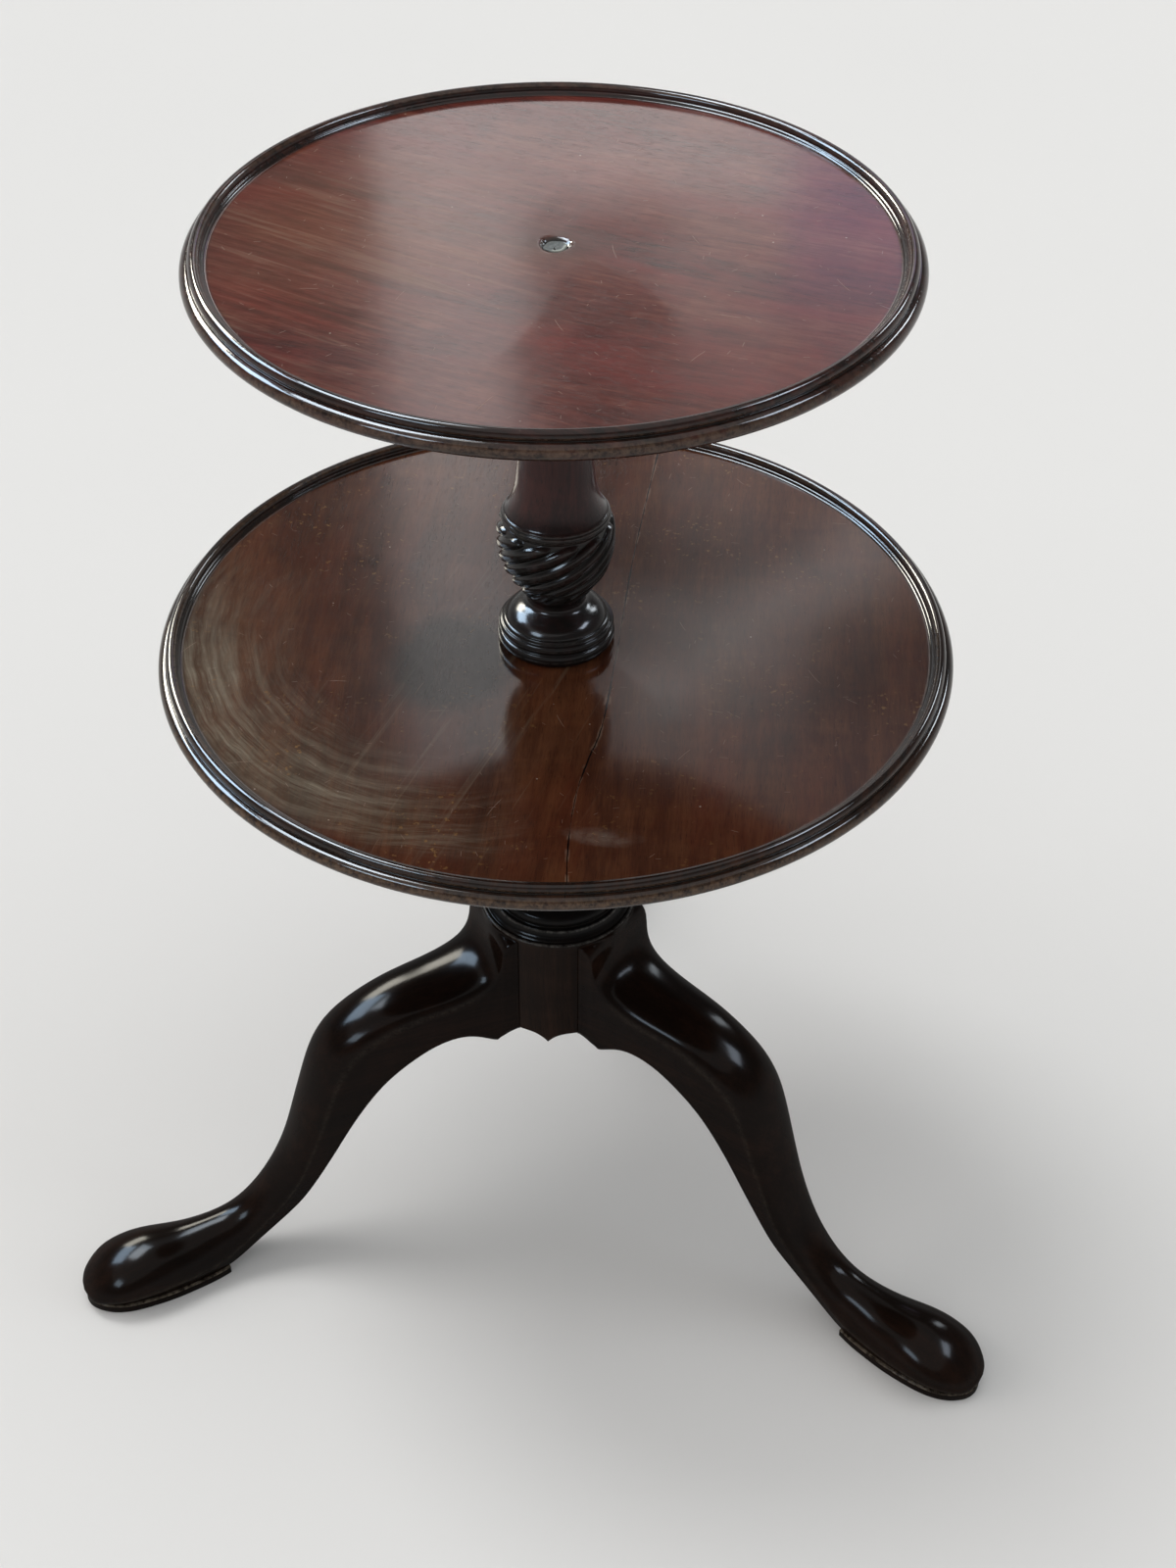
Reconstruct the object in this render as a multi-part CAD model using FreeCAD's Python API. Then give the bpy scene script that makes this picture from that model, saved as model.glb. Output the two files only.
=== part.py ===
import FreeCAD, Part
import math
import os
from FreeCAD import Vector

# A two-tier dumbwaiter table in mahogany. Two dished round trays revolve on a turned column,
# which is set in a round block on three cabriole legs with pad feet.
# Millimetres, +Z up. The origin is on the floor, on the axis of the column.

# Trays
lower_tray_radius = 279.0
top_tray_radius = 235.5
tray_thickness = 10.5
rim_height = 17.5
lower_roll_height = 11.0
lower_roll_reach = 5.5
upper_roll_radius = 4.0
quirk_depth = 1.0
rim_cove = 2.0

# Heights of the stand
block_bottom = 191.0
block_height = 103.0
seat_height = 498.0
lower_bearer_height = 29.5
upper_column_height = 268.0
top_bearer_height = 22.0

# Block and lower column
block_radius = 59.0
block_edge = 1.5
step_radius = 50.5
step_rise = 7.0
ring_radius = 48.0
ring_height = 11.0
ring_neck_radius = 27.0
baluster_radius = 36.0
baluster_top_radius = 20.0
collar_radius = 28.0
collar_height = 8.0
seat_radius = 42.0
seat_thickness = 7.0
seat_flare = 22.0
fillet_height = 3.0

# Scalloped lower edge of the block and the leg roots
scallop_radius = 22.0
scallop_rise = 9.5
scallop_depth = 26.0
scallop_angle = 42.2

# Upper column
knop_radius = 41.0
knop_foot_radius = 38.5
knop_height = 23.5
knop_line_height = 11.0
urn_neck_radius = 19.5
urn_neck_height = 8.5
urn_radius = 39.9
urn_height = 77.0
shaft_foot_radius = 25.2
shaft_foot_height = 40.0
shaft_top_radius = 18.0
top_collar_radius = 23.0
top_collar_height = 6.0
top_seat_radius = 36.0
top_seat_thickness = 6.0
top_seat_flare = 18.0

# Journal, dowel and pivot that the trays turn on
journal_radius = 14.0
dowel_radius = 10.5
dowel_length = 58.0
pivot_radius = 8.0
pivot_collar_radius = 12.0
pivot_shank_radius = 6.0
pivot_shank_length = 38.0
pivot_end_gap = 2.0
washer_thickness = 2.0
lower_washer_radius = 36.0
top_washer_radius = 32.0

# Bearers under the trays
lower_bearer_radius = 62.0
top_bearer_radius = 54.0
bearer_edge_radius = 8.0
lower_screw_circle = 46.0
top_screw_circle = 42.0
bearer_screw_count = 4

# Legs, which share one shape
leg_names = ("leg_back", "leg_left", "leg_right")
back_leg_angle = 90.0
leg_reach = 405.1
leg_half_width = 35.5
foot_line = 6.0
sole_thickness = 8.0
sole_inset = 1.8
sole_heel_reach = 290.5
sole_half_width = 26.8
tenon_depth = 22.0
tenon_neck_half_width = 10.0
tenon_end_half_width = 15.0
tenon_height = 88.0

# Iron bracket under the block
bracket_thickness = 3.0
bracket_hub_radius = 24.0
bracket_reach = 71.0
bracket_arm_half_width = 9.0
bracket_tip_half_width = 7.0
bracket_screw_circles = (16.0, 64.0)

# Screws
screw_radius = 2.2
screw_head_radius = 4.4
screw_head_height = 2.2
screw_slot_width = 1.0
screw_slot_depth = 0.9
bracket_screw_length = 20.0
bearer_screw_bite = 6.0

# Filled hole in the top tray
plug_radius = 8.0
plug_depth = 4.0
plug_offset = 4.0

# Clearances, and the overrun of all cuts
running_gap = 0.3
glue_gap = 0.1
tray_gap = 1.0
screw_gap = 0.1
overrun = 5.0

# Places that follow from the sizes above
block_top = block_bottom + block_height
lower_tray_base = seat_height + washer_thickness + lower_bearer_height
lower_dish = lower_tray_base + tray_thickness
column_foot = lower_dish + tray_gap
column_top = column_foot + upper_column_height
top_bearer_base = column_top + washer_thickness
top_tray_base = top_bearer_base + top_bearer_height
top_dish = top_tray_base + tray_thickness
journal_bore = journal_radius + running_gap
pivot_bore = pivot_radius + running_gap
leg_angles = {name: back_leg_angle + 360 * step / len(leg_names)
              for step, name in enumerate(leg_names)}

# Heights along the baluster of the lower column, and its radius there
baluster_height_shares = (0.10, 0.24, 0.40, 0.60, 0.80)
baluster_radius_shares = (0.82, 1.00, 0.95, 0.72, 0.59)

# Heights along the urn from its neck up to the shaft, and its radius there
urn_height_shares = (0.11, 0.21, 0.32, 0.43, 0.54, 0.66, 0.80)
urn_radius_shares = (0.58, 0.70, 0.83, 0.93, 0.98, 1.00, 0.99)
urn_shoulder_height_shares = (0.84, 0.92)
urn_shoulder_radius_shares = (0.985, 0.84)
shaft_foot_shares = (1.17, 1.07)

# The leg from root to toe: the upper edge as shares of its reach and of the block's top, the
# lower edge as shares of its reach and of the drop to the foot, its half width as a share of
# the widest, the width of its lower edge as a share of that, and the share of its depth at
# which the flat cheek turns into the rounded top
leg_top_reach_shares = (0.114, 0.144, 0.162, 0.250, 0.340, 0.419, 0.473, 0.504, 0.525, 0.547,
                        0.571, 0.614, 0.676, 0.747, 0.808, 0.869, 0.923, 0.960, 0.986, 1.000)
leg_top_height_shares = (0.997, 0.980, 0.901, 0.849, 0.828, 0.786, 0.732, 0.668, 0.587, 0.484,
                         0.378, 0.276, 0.191, 0.163, 0.155, 0.156, 0.139, 0.112, 0.082, 0.056)
leg_low_reach_shares = (0.114, 0.146, 0.165, 0.213, 0.283, 0.361, 0.409, 0.448, 0.486, 0.516,
                        0.553, 0.597, 0.662, 0.723, 0.792, 0.864, 0.921, 0.958, 0.985, 0.995)
leg_low_height_shares = (0.000, 0.000, 0.000, -0.051, -0.034, 0.067, 0.178, 0.299, 0.446, 0.564,
                         0.683, 0.790, 0.898, 0.997, 1.000, 1.000, 1.000, 1.000, 0.996, 0.992)
leg_width_shares = (1.000, 0.986, 0.952, 0.907, 0.839, 0.803, 0.763, 0.735, 0.696, 0.648, 0.623,
                    0.552, 0.549, 0.637, 0.775, 0.901, 0.901, 0.761, 0.515, 0.282)
leg_edge_shares = (1.00, 1.00, 1.00, 1.00, 1.00, 0.99, 0.98, 0.96, 0.93, 0.90, 0.87, 0.85, 0.82,
                   0.76, 0.84, 0.81, 0.77, 0.74, 0.62, 0.60)
leg_cheek_shares = (0.97, 0.92, 0.82, 0.72, 0.72, 0.74, 0.72, 0.64, 0.56, 0.52, 0.50, 0.46, 0.40,
                    0.34, 0.32, 0.34, 0.38, 0.42, 0.42, 0.45)

# Reach along the side of the sole from heel to toe, and its half width there
sole_reach_shares = (0.000, 0.102, 0.235, 0.395, 0.563, 0.731, 0.864, 0.944, 0.987)
sole_width_shares = (0.653, 0.776, 0.881, 0.970, 1.000, 0.955, 0.776, 0.522, 0.269)


class Outline:
    """Half outline of a turned piece, drawn from point to point as radius and height."""

    def __init__(self, radius, height):
        self.start = (radius, height)
        self.end = self.start
        self.edges = []

    def point(self, place):
        return Vector(place[0], 0, place[1])

    def line(self, radius, height):
        if (radius, height) != self.end:
            edge = Part.LineSegment(self.point(self.end), self.point((radius, height)))
            self.edges.append(edge.toShape())
            self.end = (radius, height)
        return self

    def arc(self, middle, radius, height):
        arc = Part.Arc(self.point(self.end), self.point(middle), self.point((radius, height)))
        self.edges.append(arc.toShape())
        self.end = (radius, height)
        return self

    def curve(self, places):
        curve = Part.BSplineCurve()
        curve.interpolate([self.point(place) for place in [self.end] + places])
        self.edges.append(curve.toShape())
        self.end = places[-1]
        return self

    def bead(self, bulge, rise):
        """Half round that swells by bulge and ends above its start."""
        radius, height = self.end
        return self.arc((radius + bulge, height + rise / 2), radius, height + rise)

    def turned(self):
        """Closes the outline and turns it once round the axis."""
        self.line(*self.start)
        face = Part.Face(Part.Wire(self.edges))
        return face.revolve(Vector(0, 0, 0), Vector(0, 0, 1), 360)


def cylinder(radius, bottom, top, x=0, y=0):
    return Part.makeCylinder(radius, top - bottom, Vector(x, y, bottom))


def turn_about_axis(shape, angle):
    copy = shape.copy()
    copy.rotate(Vector(0, 0, 0), Vector(0, 0, 1), angle)
    return copy


def around(shape, count):
    """Equal copies of a shape round the axis."""
    return [turn_about_axis(shape, 360 * step / count) for step in range(count)]


def one_solid(shape):
    """The single solid of a shape after cuts and joins."""
    return max(shape.removeSplitter().Solids, key=lambda solid: solid.Volume)


def dome_screw(length, x):
    """Round-headed screw that stands on its head at height zero, with a slot below."""
    sagitta = (screw_head_radius ** 2 - screw_head_height ** 2) / (2 * screw_head_height)
    head = Part.makeSphere(sagitta + screw_head_height, Vector(x, 0, sagitta))
    head = head.common(cylinder(screw_head_radius, -screw_head_height, 0, x))
    slot = Part.makeBox(2 * screw_head_radius, screw_slot_width, screw_slot_depth,
                        Vector(x - screw_head_radius, -screw_slot_width / 2, -screw_head_height))
    shank = cylinder(screw_radius, 0, length, x)
    return one_solid(head.cut(slot).fuse(shank))


def tray(radius, base, bore):
    """Dished tray with a two-roll rim, and a round hole where bore isn't zero."""
    shoulder = radius - lower_roll_reach
    roll_height = base + rim_height - upper_roll_radius
    inner = shoulder - 2 * upper_roll_radius
    outline = Outline(bore, base)
    outline.line(shoulder, base)
    outline.bead(lower_roll_reach, lower_roll_height)
    outline.line(shoulder - quirk_depth, base + lower_roll_height)
    outline.line(shoulder - quirk_depth, base + lower_roll_height + quirk_depth / 2)
    outline.line(shoulder, roll_height)
    outline.arc((shoulder - upper_roll_radius, base + rim_height), inner, roll_height)
    outline.line(inner, base + tray_thickness + rim_cove)
    outline.line(inner - rim_cove / 2, base + tray_thickness + rim_cove / 2)
    outline.line(inner - rim_cove, base + tray_thickness)
    outline.line(bore, base + tray_thickness)
    return outline.turned()


def bearer(radius, base, height, bore, screw_circle):
    """Round block under a tray, with counterbored screw holes."""
    outline = Outline(bore, base)
    outline.line(radius - bearer_edge_radius, base)
    diagonal = bearer_edge_radius * (1 - math.sqrt(1 / 2))
    outline.arc((radius - diagonal, base + diagonal), radius, base + bearer_edge_radius)
    outline.line(radius, base + height)
    outline.line(bore, base + height)
    counterbore = screw_head_height + screw_head_height / 2
    head_hole = cylinder(screw_head_radius + screw_gap, base - overrun, base + counterbore,
                         screw_circle)
    shank_hole = cylinder(screw_radius + screw_gap, base, base + height + overrun, screw_circle)
    holes = around(head_hole.fuse(shank_hole), bearer_screw_count)
    screw = dome_screw(height - counterbore + bearer_screw_bite, screw_circle)
    screw.translate(Vector(0, 0, base + counterbore))
    return outline.turned().cut(holes), Part.Compound(around(screw, bearer_screw_count))


def screw_pilots(screw_circle, base):
    """Blind holes in a tray for the ends of its bearer's screws."""
    pilot = cylinder(screw_radius + screw_gap, base - overrun,
                     base + bearer_screw_bite + screw_gap, screw_circle)
    return around(pilot, bearer_screw_count)


def lower_column():
    """Block, stepped ring, baluster and seat, turned in one piece."""
    baluster_foot = block_top + step_rise + ring_height + fillet_height
    collar_base = seat_height - seat_thickness - seat_flare - collar_height
    span = collar_base - baluster_foot
    outline = Outline(0, block_bottom)
    outline.line(block_radius, block_bottom)
    outline.line(block_radius, block_top - block_edge)
    outline.line(block_radius - block_edge, block_top)
    outline.line(step_radius + fillet_height, block_top)
    outline.arc((step_radius + fillet_height / 4, block_top + step_rise / 3),
                step_radius, block_top + step_rise)
    outline.line(ring_radius - ring_height / 2, block_top + step_rise)
    outline.bead(ring_height / 2, ring_height)
    outline.line(ring_neck_radius, baluster_foot - fillet_height)
    outline.line(ring_neck_radius, baluster_foot)
    outline.curve([(baluster_radius * radius, baluster_foot + span * height)
                   for radius, height in zip(baluster_radius_shares, baluster_height_shares)]
                  + [(baluster_top_radius, collar_base)])
    outline.line(collar_radius - collar_height / 2, collar_base)
    outline.bead(collar_height / 2, collar_height)
    outline.line(baluster_top_radius, collar_base + collar_height)
    outline.arc((baluster_top_radius + (seat_radius - baluster_top_radius) / 4,
                 collar_base + collar_height + 2 * seat_flare / 3),
                seat_radius - seat_thickness / 2, seat_height - seat_thickness)
    outline.arc((seat_radius, seat_height - seat_thickness / 2),
                seat_radius - seat_thickness / 2, seat_height)
    outline.line(0, seat_height)
    return outline.turned()


def upper_column():
    """Knop, urn, tapering shaft and seat, with the journal and dowel below."""
    knop_top = column_foot + knop_height
    urn_foot = knop_top + urn_neck_height
    shaft_foot = urn_foot + urn_height
    collar_base = column_top - top_seat_thickness - top_seat_flare - top_collar_height
    outline = Outline(0, seat_height - dowel_length)
    outline.line(dowel_radius, seat_height - dowel_length)
    outline.line(dowel_radius, seat_height)
    outline.line(journal_radius, seat_height)
    outline.line(journal_radius, column_foot)
    outline.line(knop_foot_radius, column_foot)
    outline.arc((knop_radius, column_foot + knop_line_height / 2),
                knop_foot_radius, column_foot + knop_line_height)
    outline.arc((knop_foot_radius - quirk_depth, column_foot + knop_height - knop_line_height / 2),
                (knop_foot_radius + urn_neck_radius) / 2, knop_top)
    outline.line(urn_neck_radius, knop_top)
    outline.arc((urn_neck_radius - quirk_depth, knop_top + urn_neck_height / 2),
                urn_neck_radius, urn_foot)
    outline.curve([(urn_radius * radius, urn_foot + urn_height * height)
                   for radius, height in zip(urn_radius_shares, urn_height_shares)])
    outline.curve([(urn_radius * urn_shoulder_radius_shares[0],
                    urn_foot + urn_height * urn_shoulder_height_shares[0]),
                   (urn_radius * urn_shoulder_radius_shares[1],
                    urn_foot + urn_height * urn_shoulder_height_shares[1]),
                   (shaft_foot_radius * shaft_foot_shares[0], shaft_foot),
                   (shaft_foot_radius * shaft_foot_shares[1], shaft_foot + shaft_foot_height / 3),
                   (shaft_foot_radius, shaft_foot + shaft_foot_height)])
    outline.line(shaft_top_radius, collar_base)
    outline.line(top_collar_radius - top_collar_height / 2, collar_base)
    outline.bead(top_collar_height / 2, top_collar_height)
    outline.line(shaft_top_radius, collar_base + top_collar_height)
    outline.arc((shaft_top_radius + (top_seat_radius - shaft_top_radius) / 4,
                 collar_base + top_collar_height + 2 * top_seat_flare / 3),
                top_seat_radius - top_seat_thickness / 2, column_top - top_seat_thickness)
    outline.arc((top_seat_radius, column_top - top_seat_thickness / 2),
                top_seat_radius - top_seat_thickness / 2, column_top)
    outline.line(0, column_top)
    socket = cylinder(pivot_shank_radius + screw_gap, column_top - pivot_shank_length - screw_gap,
                      column_top + overrun)
    return one_solid(outline.turned().cut(socket))


def pivot():
    """Iron pin with a collar, screwed into the top of the column."""
    outline = Outline(0, column_top - pivot_shank_length)
    outline.line(pivot_shank_radius, column_top - pivot_shank_length)
    outline.line(pivot_shank_radius, column_top)
    outline.line(pivot_collar_radius, column_top)
    outline.line(pivot_collar_radius, top_bearer_base)
    outline.line(pivot_radius, top_bearer_base)
    outline.line(pivot_radius, top_tray_base - pivot_end_gap)
    outline.line(0, top_tray_base - pivot_end_gap)
    return outline.turned()


def washer(radius, bore, base):
    ring = cylinder(radius, base, base + washer_thickness)
    return ring.cut(cylinder(bore, base - overrun, base + washer_thickness + overrun))


def leg_section(top_reach, top_height, low_reach, low_height, half_width, edge, cheek):
    """Cross-section of a leg: flat lower edge, flat cheeks and a half-elliptical top."""
    def place(depth, side):
        return Vector(low_reach + (top_reach - low_reach) * depth, side,
                      low_height + (top_height - low_height) * depth)
    angles = [math.radians(step) for step in range(0, 181, 15)]
    crown = Part.BSplineCurve()
    crown.interpolate([place(cheek + (1 - cheek) * math.sin(angle), half_width * math.cos(angle))
                       for angle in angles])
    corners = [place(cheek, -half_width), place(0, -half_width * edge),
               place(0, half_width * edge), place(cheek, half_width)]
    sides = [Part.LineSegment(a, b).toShape() for a, b in zip(corners, corners[1:])]
    return Part.Wire([crown.toShape()] + sides)


def sole():
    """Thin flat sole under the pad foot, straight at the heel and round at the toe."""
    toe_reach = leg_reach - sole_inset
    length = toe_reach - sole_heel_reach
    left, right = [[Vector(sole_heel_reach + length * reach, sign * sole_half_width * width, 0)
                    for reach, width in zip(sole_reach_shares, sole_width_shares)]
                   for sign in (1, -1)]
    rim = Part.BSplineCurve()
    rim.interpolate(left + [Vector(toe_reach, 0, 0)] + right[::-1])
    heel = Part.LineSegment(right[0], left[0])
    face = Part.Face(Part.Wire([rim.toShape(), heel.toShape()]))
    return face.extrude(Vector(0, 0, sole_thickness))


def tenon(end):
    """Dovetail between a leg and the block, from its inner end out to the named reach."""
    inner = block_radius - tenon_depth
    corners = [Vector(inner, -tenon_end_half_width, block_bottom),
               Vector(inner, tenon_end_half_width, block_bottom),
               Vector(block_radius, tenon_neck_half_width, block_bottom),
               Vector(end, tenon_neck_half_width, block_bottom),
               Vector(end, -tenon_neck_half_width, block_bottom),
               Vector(block_radius, -tenon_neck_half_width, block_bottom)]
    return Part.Face(Part.makePolygon(corners + corners[:1])).extrude(Vector(0, 0, tenon_height))


def scallops():
    """Arches cut across the joint of each leg and the block."""
    height = block_bottom + scallop_rise - scallop_radius
    cutters = []
    for angle in leg_angles.values():
        for side in (-1, 1):
            turn = math.radians(angle + side * scallop_angle)
            way = Vector(math.cos(turn), math.sin(turn), 0)
            start = way * (block_radius - scallop_depth) + Vector(0, 0, height)
            cutters.append(Part.makeCylinder(scallop_radius, 2 * scallop_depth, start, way))
    return cutters


def bracket_pilots():
    """Blind holes for the screws of one arm of the bracket."""
    return [cylinder(screw_radius + screw_gap, block_bottom - overrun,
                     block_bottom + bracket_screw_length, circle)
            for circle in bracket_screw_circles]


def leg_solid():
    """Cabriole leg along +X with its tenon, its sole and its screw holes."""
    low_drop = block_bottom - foot_line
    sections = []
    for values in zip(leg_top_reach_shares, leg_top_height_shares, leg_low_reach_shares,
                      leg_low_height_shares, leg_width_shares, leg_edge_shares,
                      leg_cheek_shares):
        top_reach, top_height, low_reach, low_fall, width, edge, cheek = values
        sections.append(leg_section(leg_reach * top_reach, block_top * top_height,
                                    leg_reach * low_reach, block_bottom - low_drop * low_fall,
                                    leg_half_width * width, edge, cheek))
    body = Part.makeLoft(sections, True, False)
    body = body.cut(cylinder(block_radius + glue_gap, -overrun, block_top + overrun))
    body = body.cut(cylinder(leg_reach + overrun, foot_line - block_bottom, foot_line))
    body = body.cut(cylinder(block_radius + scallop_depth, foot_line, block_bottom))
    body = body.fuse([tenon(block_radius + overrun), sole()])
    return one_solid(body.cut(bracket_pilots()))


def bracket_solid():
    """Flat iron plate with one arm under each leg."""
    plate_base = block_bottom - bracket_thickness
    hub = cylinder(bracket_hub_radius, plate_base, block_bottom)
    corners = [Vector(0, -bracket_arm_half_width, plate_base),
               Vector(bracket_reach, -bracket_tip_half_width, plate_base),
               Vector(bracket_reach, bracket_tip_half_width, plate_base),
               Vector(0, bracket_arm_half_width, plate_base)]
    arm = Part.Face(Part.makePolygon(corners + corners[:1]))
    arm = arm.extrude(Vector(0, 0, bracket_thickness))
    holes = [cylinder(screw_radius + screw_gap, plate_base - overrun, block_bottom + overrun,
                      circle) for circle in bracket_screw_circles]
    turns = leg_angles.values()
    plate = hub.fuse([turn_about_axis(arm, angle) for angle in turns])
    return one_solid(plate.cut([turn_about_axis(hole, angle)
                                for hole in holes for angle in turns]))


def bracket_screw_set():
    """The screws that hold the plate to the legs."""
    screws = []
    for angle in leg_angles.values():
        for circle in bracket_screw_circles:
            screw = dome_screw(bracket_screw_length, circle)
            screw.translate(Vector(0, 0, block_bottom - bracket_thickness))
            screws.append(turn_about_axis(screw, angle))
    return Part.Compound(screws)


def plug_place(depth):
    return cylinder(plug_radius, top_dish - depth, top_dish, 0, plug_offset)


pieces = {}

# Stand
arches = scallops()
sockets = [turn_about_axis(tenon(block_radius + overrun), angle)
           for angle in leg_angles.values()]
pilots = [turn_about_axis(hole, angle) for hole in bracket_pilots()
          for angle in leg_angles.values()]
dowel_hole = cylinder(dowel_radius + screw_gap, seat_height - dowel_length - screw_gap,
                      seat_height + overrun)
pieces["base_column"] = one_solid(lower_column().cut(sockets + arches + pilots + [dowel_hole]))
for name, angle in leg_angles.items():
    pieces[name] = one_solid(turn_about_axis(leg_solid(), angle).cut(arches))
pieces["leg_bracket"] = bracket_solid()
pieces["bracket_screws"] = bracket_screw_set()
pieces["upper_column"] = upper_column()
pieces["top_pivot"] = pivot()
pieces["lower_washer"] = washer(lower_washer_radius, journal_bore, seat_height)
pieces["top_washer"] = washer(top_washer_radius, pivot_collar_radius + running_gap, column_top)

# Lower tier
block, screws = bearer(lower_bearer_radius, seat_height + washer_thickness,
                       lower_bearer_height, journal_bore, lower_screw_circle)
pieces["lower_bearer"] = one_solid(block)
pieces["lower_bearer_screws"] = screws
lower_tray = tray(lower_tray_radius, lower_tray_base, journal_bore)
pieces["lower_tier"] = one_solid(lower_tray.cut(screw_pilots(lower_screw_circle,
                                                             lower_tray_base)))

# Top tier
block, screws = bearer(top_bearer_radius, top_bearer_base, top_bearer_height, pivot_bore,
                       top_screw_circle)
pieces["top_bearer"] = one_solid(block)
pieces["top_bearer_screws"] = screws
top_tray = tray(top_tray_radius, top_tray_base, 0)
top_tray = top_tray.cut(screw_pilots(top_screw_circle, top_tray_base))
pieces["top_tier"] = one_solid(top_tray.cut(plug_place(plug_depth)))
pieces["filler_plug"] = plug_place(plug_depth)

os.makedirs("parts", exist_ok=True)
for name, shape in pieces.items():
    shape.exportStep("parts/" + name + ".step")
    box = shape.BoundBox
    print(name, "valid", shape.isValid(), "solids", len(shape.Solids),
          "z", round(box.ZMin, 1), round(box.ZMax, 1), "volume", round(shape.Volume))
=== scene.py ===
import math
import bpy
import numpy as np
from mathutils import Matrix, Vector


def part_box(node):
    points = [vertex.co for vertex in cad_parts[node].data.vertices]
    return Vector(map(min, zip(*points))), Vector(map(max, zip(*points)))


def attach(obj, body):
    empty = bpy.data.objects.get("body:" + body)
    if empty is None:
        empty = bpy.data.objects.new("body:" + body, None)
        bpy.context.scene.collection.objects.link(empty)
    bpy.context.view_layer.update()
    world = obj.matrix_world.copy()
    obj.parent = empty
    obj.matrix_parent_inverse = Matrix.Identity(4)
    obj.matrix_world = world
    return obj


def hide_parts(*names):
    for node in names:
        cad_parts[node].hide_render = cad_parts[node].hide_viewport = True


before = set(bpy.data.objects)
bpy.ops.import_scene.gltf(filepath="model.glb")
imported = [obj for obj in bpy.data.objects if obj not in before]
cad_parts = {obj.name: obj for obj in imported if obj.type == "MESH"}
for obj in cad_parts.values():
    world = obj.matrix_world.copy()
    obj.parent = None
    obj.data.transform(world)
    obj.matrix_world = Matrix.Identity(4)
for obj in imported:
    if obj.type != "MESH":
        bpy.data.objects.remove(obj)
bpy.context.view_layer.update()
mm = 0.001


# A natural cubic spline through the values at the knots, worked out at new places.
# Its second slopes come from the usual tridiagonal system, with zero at both ends.
def splineThrough(knots, values, places):
    knots, values = np.asarray(knots, float), np.asarray(values, float)
    gaps = np.diff(knots)
    count = len(knots)
    system, right = np.eye(count), np.zeros(count)
    inner = np.arange(1, count - 1)
    system[inner, inner] = 2 * (gaps[:-1] + gaps[1:])
    system[inner, inner - 1] = gaps[:-1]
    system[inner, inner + 1] = gaps[1:]
    right[inner] = 6 * (np.diff(values)[1:] / gaps[1:] - np.diff(values)[:-1] / gaps[:-1])
    bends = np.linalg.solve(system, right)
    left = np.clip(np.searchsorted(knots, places, side="right") - 1, 0, count - 2)
    gap, a = gaps[left], knots[left + 1] - places
    b = places - knots[left]
    return ((bends[left] * a ** 3 + bends[left + 1] * b ** 3) / (6 * gap)
            + (values[left] / gap - bends[left] * gap / 6) * a
            + (values[left + 1] / gap - bends[left + 1] * gap / 6) * b)


# 0 below low, 1 above high, and an S-shaped rise between them
def easeBetween(low, high, value):
    share = np.clip((value - low) / (high - low), 0, 1)
    return share * share * (3 - 2 * share)


# Points on a circle through three points, from the first to the last.
def arcThrough(start, middle, end, count):
    (ax, ay), (bx, by), (cx, cy) = start, middle, end
    double = 2 * (ax * (by - cy) + bx * (cy - ay) + cx * (ay - by))
    squares = [ax * ax + ay * ay, bx * bx + by * by, cx * cx + cy * cy]
    x = (squares[0] * (by - cy) + squares[1] * (cy - ay) + squares[2] * (ay - by)) / double
    y = (squares[0] * (cx - bx) + squares[1] * (ax - cx) + squares[2] * (bx - ax)) / double
    first, mid, last = (math.atan2(q - y, p - x) for p, q in (start, middle, end))
    turn = (last - first) % (2 * math.pi)
    if (mid - first) % (2 * math.pi) > turn:
        turn -= 2 * math.pi
    angles = first + turn * np.linspace(0, 1, count + 1)[1:]
    radius = math.hypot(ax - x, ay - y)
    return np.stack([x + radius * np.cos(angles), y + radius * np.sin(angles)], 1)


# A turner's profile as radius and height in mm: from the start, each member is a line, an arc
# through a middle point, or a spline through several points, with its number of steps.
def turnersProfile(start, members):
    parts = [np.array([start], float)]
    for kind, places, steps in members:
        at = tuple(parts[-1][-1])
        if kind == "line":
            share = np.linspace(0, 1, steps + 1)[1:, None]
            parts.append(np.array(at) + share * (np.array(places) - np.array(at)))
        elif kind == "arc":
            parts.append(arcThrough(at, places[0], places[1], steps))
        else:
            points = np.array([at] + list(places), float)
            run = np.r_[0, np.cumsum(np.hypot(*np.diff(points, axis=0).T))]
            along = np.linspace(0, run[-1], steps + 1)[1:]
            parts.append(np.stack([splineThrough(run, points[:, 0], along),
                                   splineThrough(run, points[:, 1], along)], 1))
    return np.concatenate(parts)


# The same members with their heights counted from a level
def raised(level, members):
    return [(kind, np.add(places, (0, level)), steps) for kind, places, steps in members]


# 1 at a spot of a section and less away from it: exp(-distance squared / softness)
def near(r, z, spotR, spotZ, softness):
    return np.exp(-((r - spotR) ** 2 + (z - spotZ) ** 2) / softness)


# Softens corners: each point moves towards the mean of its neighbours, if both are close by.
def softenCorners(points, reach, passes):
    points = points.copy()
    for _ in range(passes):
        before, here, after = points[:-2], points[1:-1], points[2:]
        near = ((np.linalg.norm(here - before, axis=-1) < reach)
                & (np.linalg.norm(after - here, axis=-1) < reach))[..., None]
        points[1:-1] = np.where(near, (before + 2 * here + after) / 4, here)
    return points


def placeNode(node):
    low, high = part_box(node)
    return [value / mm for value in low], [value / mm for value in high]


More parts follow.
